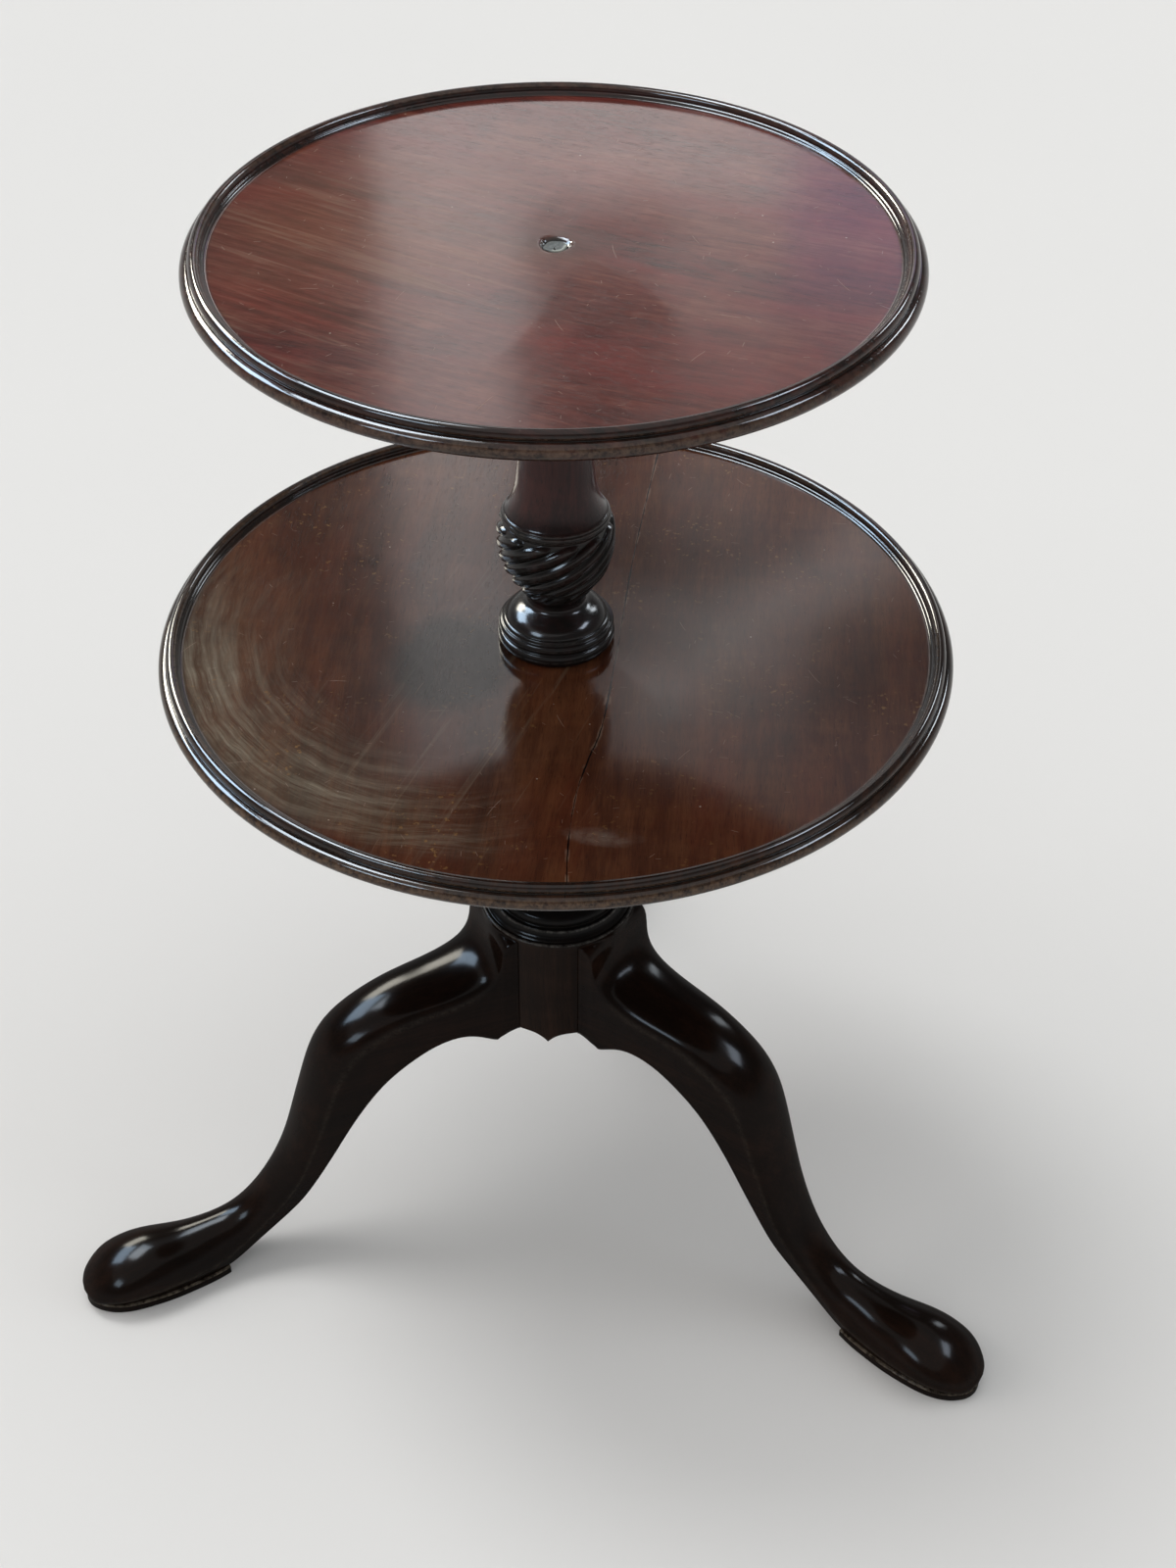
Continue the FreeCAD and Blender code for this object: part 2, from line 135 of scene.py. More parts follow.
# Puts arrays of points and faces into a mesh object at the origin, shaded smooth, and hands
# it to its body. Marks are point attributes that the materials read.
def finishPiece(name, points, faces, body, node, material, marks):
    mesh = bpy.data.meshes.new(name)
    mesh.from_pydata((points * mm).tolist(), [], faces)
    mesh.polygons.foreach_set("use_smooth", np.ones(len(mesh.polygons), bool))
    for mark, values in marks.items():
        layer = mesh.attributes.new(mark, "FLOAT", "POINT")
        layer.data.foreach_set("value", np.asarray(values, np.float32).ravel())
    mesh.update()
    piece = bpy.data.objects.new(name, mesh)
    bpy.context.scene.collection.objects.link(piece)
    piece.data.materials.append(material)
    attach(piece, body)
    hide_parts(node)
    print("piece", name, "faces", len(faces))
    return piece


# Faces between the rows of a grid whose columns go once round, with a fan to a pole where the
# first or last row shrinks to a point, or from the last row to the first where the rows close.
def gridFaces(rows, columns, rowsClose=False, poleStart=False, poleEnd=False):
    index = np.arange(rows * columns).reshape(rows, columns)
    upper = np.roll(index, -1, 0) if rowsClose else index[1:]
    lower = index if rowsClose else index[:-1]
    quads = np.stack([lower, np.roll(lower, -1, 1), np.roll(upper, -1, 1), upper], -1)
    faces = quads.reshape(-1, 4).tolist()
    if poleStart:
        ring = index[0]
        pole = np.full(columns, rows * columns)
        faces += np.stack([ring, pole, np.roll(ring, -1)], -1).tolist()
    if poleEnd:
        ring = index[-1]
        pole = np.full(columns, rows * columns + int(poleStart))
        faces += np.stack([ring, np.roll(ring, -1), pole], -1).tolist()
    return faces


# A surface of revolution: the profile's radius and height at each row, turned once round in
# the columns. warp may change radius and height by angle. Rows at zero radius become poles.
def turnedPiece(name, profile, columns, body, node, material, warp, mark,
                centre=(0, 0)):
    poleStart, poleEnd = profile[0, 0] < 1e-6, profile[-1, 0] < 1e-6
    rows = profile[int(poleStart):len(profile) - int(poleEnd)]
    angle = np.linspace(0, 2 * math.pi, columns, endpoint=False)[None, :]
    radius = np.repeat(rows[:, :1], columns, 1)
    height = np.repeat(rows[:, 1:], columns, 1)
    radius, height = warp(radius, height, angle)
    grid = np.stack([radius * np.cos(angle), radius * np.sin(angle), height], -1)
    points = grid.reshape(-1, 3)
    marks = {key: np.broadcast_to(value, radius.shape).ravel()
             for key, value in mark(radius, height, angle).items()}
    for used, end in ((poleStart, profile[0]), (poleEnd, profile[-1])):
        if used:
            points = np.vstack([points, [[0, 0, end[1]]]])
            row = slice(0, columns) if end is profile[0] else slice(-columns, None)
            marks = {key: np.r_[value, value[:len(radius) * columns][row].mean()]
                     for key, value in marks.items()}
    points = points + np.array([centre[0], centre[1], 0])
    faces = gridFaces(len(rows), columns, not (poleStart or poleEnd), poleStart, poleEnd)
    return finishPiece(name, points, faces, body, node, material, marks)


# A node's output that takes part in sums like a number. Each sum adds a Math node.
class Signal:
    def __init__(self, socket):
        self.socket, self.tree = socket, socket.id_data

    def __add__(self, other):
        return calc("ADD", self, other)

    def __sub__(self, other):
        return calc("SUBTRACT", self, other)

    def __mul__(self, other):
        return calc("MULTIPLY", self, other)

    def __truediv__(self, other):
        return calc("DIVIDE", self, other)

    def __abs__(self):
        return calc("ABSOLUTE", self)


# A material's node: sockets take a value or another node's output
def addNode(tree, kind, sockets=None, **settings):
    made = tree.nodes.new("ShaderNode" + kind)
    for key, value in settings.items():
        setattr(made, key, value)
    for key, value in (sockets or {}).items():
        socket = made.inputs[key]
        if isinstance(value, Signal):
            tree.links.new(value.socket, socket)
        else:
            socket.default_value = (*value, 1.0) if socket.type == "RGBA" else value
    return made


def outputOf(tree, kind, sockets=None, out=0, **settings):
    return Signal(addNode(tree, kind, sockets, **settings).outputs[out])


def calc(operation, *values):
    return outputOf(values[0].tree, "Math", dict(enumerate(values)), operation=operation)


def vectorCalc(operation, *values, out=0):
    return outputOf(values[0].tree, "VectorMath", dict(enumerate(values)), out,
                    operation=operation)


def fit(value, low, high, newLow=0.0, newHigh=1.0):
    return outputOf(value.tree, "MapRange", {"Value": value, "From Min": low, "From Max": high,
                                             "To Min": newLow, "To Max": newHigh})


def blend(share, first, second):
    return outputOf(share.tree, "Mix", {0: share, 6: first, 7: second}, 2, data_type="RGBA")


def stretch(vector, scale=(1, 1, 1), turn=(0, 0, 0), shift=(0, 0, 0)):
    return outputOf(vector.tree, "Mapping", {"Vector": vector, "Scale": scale,
                                             "Rotation": turn, "Location": shift})


def cloud(vector, scale, detail=3.0, roughness=0.55, distortion=0.0):
    sockets = {"Vector": vector, "Scale": scale, "Detail": detail, "Roughness": roughness,
               "Distortion": distortion}
    return outputOf(vector.tree, "TexNoise", sockets, "Fac")


def markValue(tree, name):
    return outputOf(tree, "Attribute", out="Fac", attribute_name=name)


def ramp(value, *stops):
    made = addNode(value.tree, "ValToRGB", {"Fac": value})
    while len(made.color_ramp.elements) < len(stops):
        made.color_ramp.elements.new(0.5)
    for element, (at, tint) in zip(made.color_ramp.elements, stops):
        element.position, element.color = at, (*tint, 1.0)
    return Signal(made.outputs[0])


# Splits a vector or a colour into its three numbers
def split(value, kind="XYZ"):
    return [Signal(out) for out in addNode(value.tree, "Separate" + kind, {0: value}).outputs]


def startMaterial(name):
    material = bpy.data.materials.new(name)
    material.use_nodes = True
    material.node_tree.nodes.clear()
    return material, outputOf(material.node_tree, "TexCoord", out="Object")


def shadeWith(tree, kind, sockets):
    addNode(tree, "OutputMaterial", {0: outputOf(tree, "Bsdf" + kind, sockets)})


# Short bowed scratches: every cell of a Voronoi pattern has one line through its point, at its
# own angle and length. chance is the share of cells that are scratched.
def scratchMarks(place, density, length, width, chance, bow=6.0, fade=0.6):
    cells = addNode(place.tree, "TexVoronoi", {"Vector": place, "Scale": density},
                    voronoi_dimensions="2D").outputs
    turnSeed, chosen, lengthSeed = split(Signal(cells["Color"]), "Color")
    (x, y, _), (px, py, _) = split(place), split(Signal(cells["Position"]))
    dx, dy, turn = x - px, y - py, turnSeed * math.pi
    cos, sin = calc("COSINE", turn), calc("SINE", turn)
    along, across = dx * cos + dy * sin, dy * cos - dx * sin
    across = abs(across + along * along * bow)
    ended = fit(abs(along) / ((lengthSeed + 0.25) * length), 1.0, fade)
    return (fit(across, width, width * 0.35) * ended
            * fit(chosen, 1 - chance, 1 - chance + 0.02))


mahoganyFinish = {
    "bandSize": (2.2, 17.0, 17.0),  # sizes along and across the grain, per metre
    "streakSize": (5.0, 72.0, 72.0),
    "fibreSize": (16.0, 430.0, 430.0),
    "poreSize": (110.0, 1700.0, 1700.0),
    "figureSize": (32.0, 9.0, 9.0),
    "wanderSize": (2.0, 6.0, 6.0),
    "blushSize": (7.0, 22.0, 22.0),
    "waver": 0.045,
    "toneShares": (0.46, 0.34, 0.20, 0.20),  # of bands, streaks, fibres and figure
    "contrast": 1.0,
    "grainTurn": (0, 0, 0),
    "deep": (0.022, 0.008, 0.006),
    "middle": (0.075, 0.024, 0.017),
    "bright": (0.17, 0.060, 0.038),
    "bloom": 0.2,
    "bloomSize": 7.0,
    "bloomColour": (0.20, 0.155, 0.135),
    "polish": 0.3,
    "scratches": 0.5,
    "scratchColour": (0.30, 0.19, 0.13),
    "longScratches": (42.0, 0.010, 0.00030, 0.07),  # density, length, width and chance
    "shortScratches": (150.0, 0.0028, 0.00026, 0.07),
    "speckColour": (0.48, 0.40, 0.32),
    "speckDensity": 110.0,
    "black": (0.010, 0.007, 0.006),
    "worn": (0.20, 0.10, 0.06),
    "wearAndHighlightSize": 230.0,
    "dirt": (0.005, 0.004, 0.003),
    "blush": (0.14, 0.026, 0.019),
    "blushShare": 0.0,
    "specular": 0.12,
    "coat": 0.35,
    "coatRoughness": 0.1,
    "poreDepth": 0.00010,
    "fibreDepth": 0.00005,
    "scratchDepth": 0.00002,
    "sway": 0.00030,
    "swaySize": 30.0,
    "bump": 0.55,
}


# Old polished mahogany. Broad bands, streaks, fibres and short pores lie along the grain, grey
# bloom, scratches and specks lie over them, and marks on the mesh blacken the rims, lighten the
# edges with real wear on the trays and with painted highlights on the turned parts and legs,
# and paint shade into grooves. extra may lay more on the upper face: it takes and hands back
# colour and roughness.
def mahogany(name, look, extra=None):
    s = {**mahoganyFinish, **look}
    material, place = startMaterial(name)
    tree = place.tree
    grain = stretch(place, turn=s["grainTurn"])
    wander = outputOf(tree, "TexNoise", {"Vector": stretch(grain, s["wanderSize"]),
                                         "Scale": 1.0, "Detail": 2.0}, "Color")
    moved = vectorCalc("SUBTRACT", wander, (0.5, 0.5, 0.5))
    moved = vectorCalc("MULTIPLY", moved, (0, s["waver"], s["waver"]))
    grain = vectorCalc("ADD", grain, moved)
    band = cloud(stretch(grain, s["bandSize"]), 1.0, 4.0, 0.55, 0.3)
    streak = cloud(stretch(grain, s["streakSize"]), 1.0, 4.0, 0.6, 0.2)
    fibre = cloud(stretch(grain, s["fibreSize"]), 1.0, 3.0, 0.6)
    pores = fit(cloud(stretch(grain, s["poreSize"]), 1.0, 1.0, 0.5), 0.60, 0.70)
    figure = cloud(stretch(grain, s["figureSize"]), 1.0, 3.0, 0.6, 0.6)
    shares = s["toneShares"]
    tone = (band * shares[0] + streak * shares[1] + fibre * shares[2]
            + (figure - 0.5) * shares[3])
    spread = 0.20 / s["contrast"]
    tone = fit(tone, 0.5 - spread, 0.5 + spread)
    wood = ramp(tone, (0.0, s["deep"]), (0.48, s["middle"]), (1.0, s["bright"]))
    redden = cloud(stretch(grain, s["blushSize"], shift=(5, 2, 0)), 1.0, 5.0, 0.68, 0.5)
    wood = blend(fit(redden, 0.46, 0.68) * s["blushShare"], wood, s["blush"])
    wood = blend(pores * 0.5, wood, s["deep"])
    haze = cloud(stretch(place, (1, 1.6, 1)), s["bloomSize"], 5.0, 0.62, 0.7)
    haze = fit(haze, 0.40, 0.72) * fit(cloud(place, 520.0, 2.0, 0.7), 0.2, 0.8)
    wood = blend(haze * s["bloom"], wood, s["bloomColour"])
    rough = haze * 0.08 + fibre * 0.09 + s["polish"]
    if extra:
        marked, rough = extra(place, wood, rough)
        wood = blend(fit(split(place)[2], *s["markedFrom"]), wood, marked)
    bump = fibre * s["fibreDepth"] - pores * s["poreDepth"]
    if s["scratches"]:
        turned = stretch(place, turn=(0, 0, 0.6), shift=(0.3, 0.1, 0))
        scratch = calc("MAXIMUM", scratchMarks(place, *s["longScratches"]),
                       scratchMarks(turned, *s["shortScratches"]))
        spots = addNode(tree, "TexVoronoi", {"Vector": place,
                                             "Scale": s["speckDensity"]}).outputs
        chosen = split(Signal(spots["Color"]), "Color")[0]
        speck = fit(Signal(spots["Distance"]), 0.09, 0.04) * fit(chosen, 0.955, 0.965)
        rough = rough + scratch * 0.2
        wood = blend(scratch * s["scratches"], wood, s["scratchColour"])
        wood = blend(speck * 0.6, wood, s["speckColour"])
        bump = bump - scratch * s["scratchDepth"]
    rim = markValue(tree, "rim")
    # The wear mark is real wear on the trays, and a painted highlight on the crests and edges
    # of the turned parts and on the legs' soles.
    wear = markValue(tree, "wear") * fit(cloud(place, s["wearAndHighlightSize"], 5.0, 0.75), 0.38, 0.60)
    blackened = blend(fit(streak, 0.35, 0.7, 0.0, 0.30), s["black"], wood)
    wood = blend(rim, wood, blackened)
    wood = blend(wear * 0.7, wood, s["worn"])
    # Painted shade: the dirt mark darkens quirks, coves, flutes and grooves towards a near
    # black colour.
    wood = blend(markValue(tree, "dirt"), wood, s["dirt"])
    bump = bump + cloud(place, s["swaySize"], 2.0) * s["sway"]
    shadeWith(tree, "Principled", {
        "Base Color": wood, "Roughness": rough - rim * 0.10,
        "Normal": outputOf(tree, "Bump", {"Height": bump, "Distance": 1.0,
                                          "Strength": s["bump"]}),
        "Specular IOR Level": s["specular"], "Coat Weight": s["coat"],
        "Coat Roughness": s["coatRoughness"], "Coat IOR": 1.5})
    return material


# A plain finish with a mottled colour, for iron, steel and leather
def mottled(name, base, second, metal, rough, size, depth, worn=None):
    material, place = startMaterial(name)
    tree = place.tree
    patch = cloud(place, size, 5.0, 0.65, 0.5)
    grit = cloud(place, size * 9, 3.0, 0.7)
    tint = blend(fit(patch, 0.38, 0.64), base, second)
    if worn:
        tint = blend(markValue(tree, "wear"), tint, worn)
    height = (patch + grit * 0.4) * depth
    shadeWith(tree, "Principled", {
        "Base Color": tint, "Metallic": metal,
        "Normal": outputOf(tree, "Bump", {"Height": height, "Distance": 1.0,
                                          "Strength": 0.8}),
        "Roughness": fit(grit, 0.3, 0.7, rough - 0.1, rough + 0.15)})
    return material


# How near a place is to a spot in the plane: 1 inside, 0 outside, with a ragged edge
def smudge(place, spot, size, soft, ragged=0.3, seed=0.0):
    moved = stretch(place, shift=(-spot[0], -spot[1], 0.0))
    moved = vectorCalc("MULTIPLY", moved, (1 / size[0], 1 / size[1], 0))
    edge = cloud(stretch(place, shift=(seed, 0, 0)), 0.8 / max(size), 4.0, 0.6)
    away = vectorCalc("LENGTH", moved, out="Value") + (edge - 0.5) * (ragged * 2)
    return fit(away, 1 + soft / 2, 1 - soft / 2)


trayLook = {
    "polish": 0.085,
    "specular": 0.15,
    "coat": 0.26,
    "coatRoughness": 0.10,
    "poreDepth": 0.000015,
    "fibreDepth": 0.000015,
    "sway": 0.0002,
}
topTrayLook = {
    **trayLook,
    "bandSize": (5.0, 19.0, 19.0),
    "streakSize": (20.0, 190.0, 190.0),
    "fibreSize": (60.0, 620.0, 620.0),
    "contrast": 1.15,
    "deep": (0.026, 0.0095, 0.008),
    "middle": (0.096, 0.025, 0.019),
    "bright": (0.175, 0.062, 0.040),
    "blush": (0.150, 0.022, 0.018),
    "blushShare": 0.6,
    "grainTurn": (0, 0, 0.24),
    "bloom": 0.14,
    "bloomColour": (0.15, 0.095, 0.085),
    "poreDepth": 0.00002,
    "fibreDepth": 0.000018,
    "scratches": 0.45,
    "worn": (0.11, 0.068, 0.046),
    "markedFrom": (0.835, 0.841),  # heights between which the marks set in, in m
    "streakTurn": 0.42,
    "streakStretch": (8.0, 150.0, 1.0),
    "streakSide": ((-0.125, -0.035), (0.105, 0.13), 0.9, 0.2),
    "darkStreaks": (0.5, (0.016, 0.009, 0.007)),  # share and colour
    "paleStreaks": (0.36, (0.24, 0.150, 0.10)),
    "smudges": (  # spot, size, softness, raggedness and seed, then share and colour
        (((-0.135, 0.02), (0.075, 0.10), 1.2, 0.5, 6.0), 0.35, (0.15, 0.060, 0.026)),
        (((0.0, 0.003), (0.030, 0.020), 1.2, 0.4, 2.0), 0.45, (0.055, 0.040, 0.030)),
        # The last smudge is painted shade: it darkens the hole round the filler plug to near
        # black.
        (((-0.0005, 0.0043), (0.0092, 0.0092), 0.2, 0.1), 1.0, (0.012, 0.011, 0.009)),
    ),
}


# Top tray: dark and sun-bleached streaks on the left, a warm patch, a stained ring round the
# filled hole, and painted shade, near black, in the hole itself
def topTrayMarks(place, wood, rough):
    s = topTrayLook
    lined = cloud(stretch(stretch(place, turn=(0, 0, s["streakTurn"])), s["streakStretch"]),
                  1.0, 5.0, 0.6, 0.4)
    side = smudge(place, *s["streakSide"])
    dark, pale = fit(lined, 0.50, 0.66) * side, fit(lined, 0.47, 0.36) * side
    for streaks, (share, tint) in ((dark, s["darkStreaks"]), (pale, s["paleStreaks"])):
        wood = blend(streaks * share, wood, tint)
    for where, share, tint in s["smudges"]:
        wood = blend(smudge(place, *where) * share, wood, tint)
    return wood, rough + pale * 0.05


lowerTrayLook = {
    **trayLook,
    "bandSize": (4.0, 16.0, 16.0),
    "streakSize": (14.0, 110.0, 110.0),
    "fibreSize": (50.0, 560.0, 560.0),
    "deep": (0.016, 0.0065, 0.004),
    "middle": (0.054, 0.0175, 0.008),
    "bright": (0.120, 0.045, 0.019),
    "blushShare": 0.4,
    "blush": (0.105, 0.023, 0.010),
    "grainTurn": (0, 0, math.pi / 2 - 0.06),
    "bloom": 0.08,
    "bloomColour": (0.13, 0.095, 0.07),
    "scratches": 0.4,
    "worn": (0.13, 0.080, 0.048),
    "markedFrom": (0.530, 0.536),
    "fineArcs": ((0.03, -0.01, 0.0), 420.0, 3.5, 6.0, 0.72, 0.3),
    "broadArcs": ((0.075, 0.012, 0.0), 120.0, 1.6, 5.0, 0.62, 0.2),
    "arcColour": (0.36, 0.32, 0.24),
    "wipedColour": (0.11, 0.09, 0.058),
    "sweepTurn": 0.25,
    "sweepStretch": (150.0, 5.0, 1.0),
    "sweepSide": ((-0.05, -0.10), (0.09, 0.16), 1.0, 0.3, 4.0),
    "sweepColour": (0.25, 0.20, 0.14),
    "stain": ((-0.067, -0.042), (0.040, 0.054), 0.4, 0.35, 1.0),
    "stainColour": (0.006, 0.011, 0.010),
    "scuff": ((0.057, -0.211), (0.018, 0.0065), 1.1, 0.8, 3.0),
    "scuffColour": (0.24, 0.20, 0.17),
    "fleckColour": (0.26, 0.14, 0.045),
    "crack": [(-0.26, 0.0425), (-0.212, 0.0375), (-0.180, 0.0365), (-0.136, 0.0398),
              (-0.095, 0.0446), (-0.029, 0.0447), (0.10, 0.0430), (0.164, 0.0439),
              (0.26, 0.0462)],  # places from front to back, each with its place across
    "crackSpan": 0.26,
    "crackAcross": (0.03, 0.06),
    "crackWidth": 0.0009,
    "crackColour": (0.003, 0.002, 0.002),
    "lipColour": (0.30, 0.22, 0.16),
}


# Lower tray: pale wiping marks that follow the rim on the left, a dark stain left of the knop,
# a scuff near the front, and a shrinkage crack from front to back.
def lowerTrayMarks(place, wood, rough):
    s = lowerTrayLook
    x, y, z = split(place)
    mx, my, _ = split(stretch(place, shift=s["fineArcs"][0]))
    angle = calc("ARCTAN2", my, mx * -1.0)
    wobble = cloud(place, 6.0, 3.0, 0.6) * 0.026

    # Distance from a centre, and noise that is drawn out into arcs round it
    def arcs(shift, across, along, *noise):
        flat = vectorCalc("MULTIPLY", stretch(place, shift=shift), (1, 1, 0))
        away = vectorCalc("LENGTH", flat, out="Value")
        polar = {0: (away + wobble) * across, 1: angle * along}
        return away, cloud(outputOf(place.tree, "CombineXYZ", polar), 1.0, *noise)

    away, fine = arcs(*s["fineArcs"])
    broad = arcs(*s["broadArcs"])[1]
    wiped = (fit(away, 0.150, 0.225) * fit(away, 0.258, 0.242)
             * fit(abs(angle + 0.74), 1.05, 0.35))
    patch = fit(cloud(place, 24.0, 5.0, 0.7), 0.40, 0.60)
    marks = wiped * (fit(broad, 0.46, 0.66) * 0.55 + fit(fine, 0.42, 0.66) * patch * 0.6)
    wood = blend(marks * 0.66, wood, s["arcColour"])
    wood = blend(wiped * 0.30, wood, s["wipedColour"])
    sweep = cloud(stretch(stretch(place, turn=(0, 0, s["sweepTurn"])), s["sweepStretch"]),
                  1.0, 3.0, 0.6, 0.3)
    swept = fit(sweep, 0.60, 0.74) * smudge(place, *s["sweepSide"])
    wood = blend(swept * 0.3, wood, s["sweepColour"])
    stain = smudge(place, *s["stain"])
    wood = blend(stain * 0.75, wood, s["stainColour"])
    wood = blend(smudge(place, *s["scuff"]) * patch * 0.4, wood, s["scuffColour"])
    flecked = fit(cloud(stretch(place, shift=(3, 1, 0)), 14.0, 3.0, 0.6), 0.50, 0.66)
    flecks = fit(cloud(place, 260.0, 2.0, 0.5), 0.64, 0.70) * flecked
    wood = blend(flecks * 0.6, wood, s["fleckColour"])
    span, (left, right) = s["crackSpan"], s["crackAcross"]
    line = addNode(place.tree, "FloatCurve", {"Value": fit(y, -span, span)})
    points = line.mapping.curves[0].points
    for number, (at, offset) in enumerate(s["crack"]):
        share = ((at + span) / (2 * span), (offset - left) / (right - left))
        if number in (0, len(s["crack"]) - 1):
            points[-1 if number else 0].location = share
        else:
            points.new(*share)
    line.mapping.update()
    ragged = (cloud(place, 160.0, 4.0, 0.7) - 0.5) * 0.0012
    gap = abs(x - (fit(Signal(line.outputs[0]), 0.0, 1.0, left, right) + ragged))
    width = fit(cloud(place, 22.0, 2.0), 0.38, 0.62, s["crackWidth"] * 0.15, s["crackWidth"])
    crack = fit(gap / width, 1.0, 0.5) * fit(z, 0.5385, 0.5392)
    lip = fit(gap / width, 3.2, 1.4) * fit(cloud(place, 60.0, 3.0), 0.48, 0.62)
    wood = blend(lip * 0.35, wood, s["lipColour"])
    wood = blend(crack, wood, s["crackColour"])
    return wood, rough + (marks * 0.07 + stain * 0.04)


legTurns = {"leg_right": 330.0, "leg_back": 90.0, "leg_left": 210.0}
topWood = mahogany("topTrayMahogany", topTrayLook, topTrayMarks)
lowerWood = mahogany("lowerTrayMahogany", lowerTrayLook, lowerTrayMarks)
# The pale grey worn colours of the turned parts and legs below paint highlights on their crests
# and edges.
turnedLook = {"grainTurn": (0, math.pi / 2, 0), "polish": 0.26, "scratches": 0.0,
              "coatRoughness": 0.15}
columnWood = mahogany("turnedMahogany", {
    **turnedLook, "deep": (0.0055, 0.002, 0.0026), "middle": (0.021, 0.0052, 0.0052),
    "bright": (0.070, 0.017, 0.0135), "bloom": 0.02, "coat": 0.42, "specular": 0.03,
    "black": (0.009, 0.0085, 0.008), "worn": (0.15, 0.14, 0.125)})
blockWood = mahogany("blockMahogany", {
    **turnedLook, "deep": (0.0035, 0.002, 0.0015), "middle": (0.010, 0.0050, 0.0030),
    "bright": (0.026, 0.012, 0.007), "bloom": 0.01, "coat": 0.16, "specular": 0.0,
    "black": (0.006, 0.006, 0.006), "worn": (0.13, 0.125, 0.115)})
legWoods = {}
for legName, legTurn in legTurns.items():
    legWoods[legName] = mahogany("legMahogany_" + legName.split("_")[1], {
        "deep": (0.0022, 0.0017, 0.0014), "middle": (0.0065, 0.0036, 0.0025),
        "bright": (0.019, 0.0085, 0.0052), "grainTurn": (0, 0, -math.radians(legTurn)),
        "bloom": 0.01, "polish": 0.24, "scratches": 0.0, "contrast": 0.8,
        "coat": 0.15, "coatRoughness": 0.155, "specular": 0.0,
        "worn": (0.15, 0.125, 0.095)})
bearerWood = mahogany("bearerMahogany", {
    "deep": (0.018, 0.009, 0.006), "middle": (0.056, 0.025, 0.015),
    "bright": (0.12, 0.056, 0.032), "grainTurn": (0, 0, 0.4), "bloom": 0.3,
    "polish": 0.5, "scratches": 0.1, "coat": 0.0})
ironFinish = mottled("wroughtIron", (0.035, 0.031, 0.029), (0.085, 0.045, 0.028),
                     0.8, 0.6, 60.0, 0.0004)
steelFinish = mottled("oldScrewSteel", (0.20, 0.18, 0.16), (0.10, 0.06, 0.04),
                      0.9, 0.45, 220.0, 0.0001)
leatherFinish = mottled("washerLeather", (0.10, 0.055, 0.030), (0.05, 0.028, 0.016),
                        0.0, 0.7, 160.0, 0.0003)
fillerFinish = mottled("plugFiller", (0.030, 0.034, 0.028), (0.085, 0.085, 0.07),
                       0.0, 0.85, 260.0, 0.0006, (0.34, 0.36, 0.31))
print("materials ready")


trayShape = {
    "thickness": 10.5,
    "rimHeight": 17.5,
    "lowerRoll": 11.0,
    "lowerReach": 5.5,
    "upperRoll": 4.0,
    "quirk": 1.0,
    "columns": 560,
}


# Half section of a dished tray: flat below, a lower roll, a quirk, an upper roll and a small
# cove down to the dish. With no bore it runs from the axis below to the axis above.
def trayProfile(radius, base, bore):
    s = trayShape
    shoulder = radius - s["lowerReach"]
    top, dish = base + s["rimHeight"], base + s["thickness"]
    rollFoot = top - s["upperRoll"]
    inner = shoulder - 2 * s["upperRoll"]
    members = [
        ("line", (shoulder - 14, base), 12),
        ("line", (shoulder - 1, base), 12),
        ("arc", ((radius, base + s["lowerRoll"] / 2), (shoulder, base + s["lowerRoll"])), 22),
        ("line", (shoulder - s["quirk"], base + s["lowerRoll"] - 0.1), 3),
        ("line", (shoulder - s["quirk"], base + s["lowerRoll"] + 0.7), 2),
        ("line", (shoulder - 0.15, rollFoot), 4),
        ("arc", ((shoulder - s["upperRoll"], top), (inner, rollFoot)), 18),
        ("line", (inner, dish + 2.2), 3),
        ("line", (inner - 1.0, dish + 1.9), 3),
        ("arc", ((inner - 1.9, dish + 0.6), (inner - 3.6, dish)), 7),
        ("line", (inner - 12, dish), 8),
        ("line", (30, dish), 20),
        ("line", (bore, dish), 6 if bore else 22),
    ]
    return turnersProfile((bore, base), members)


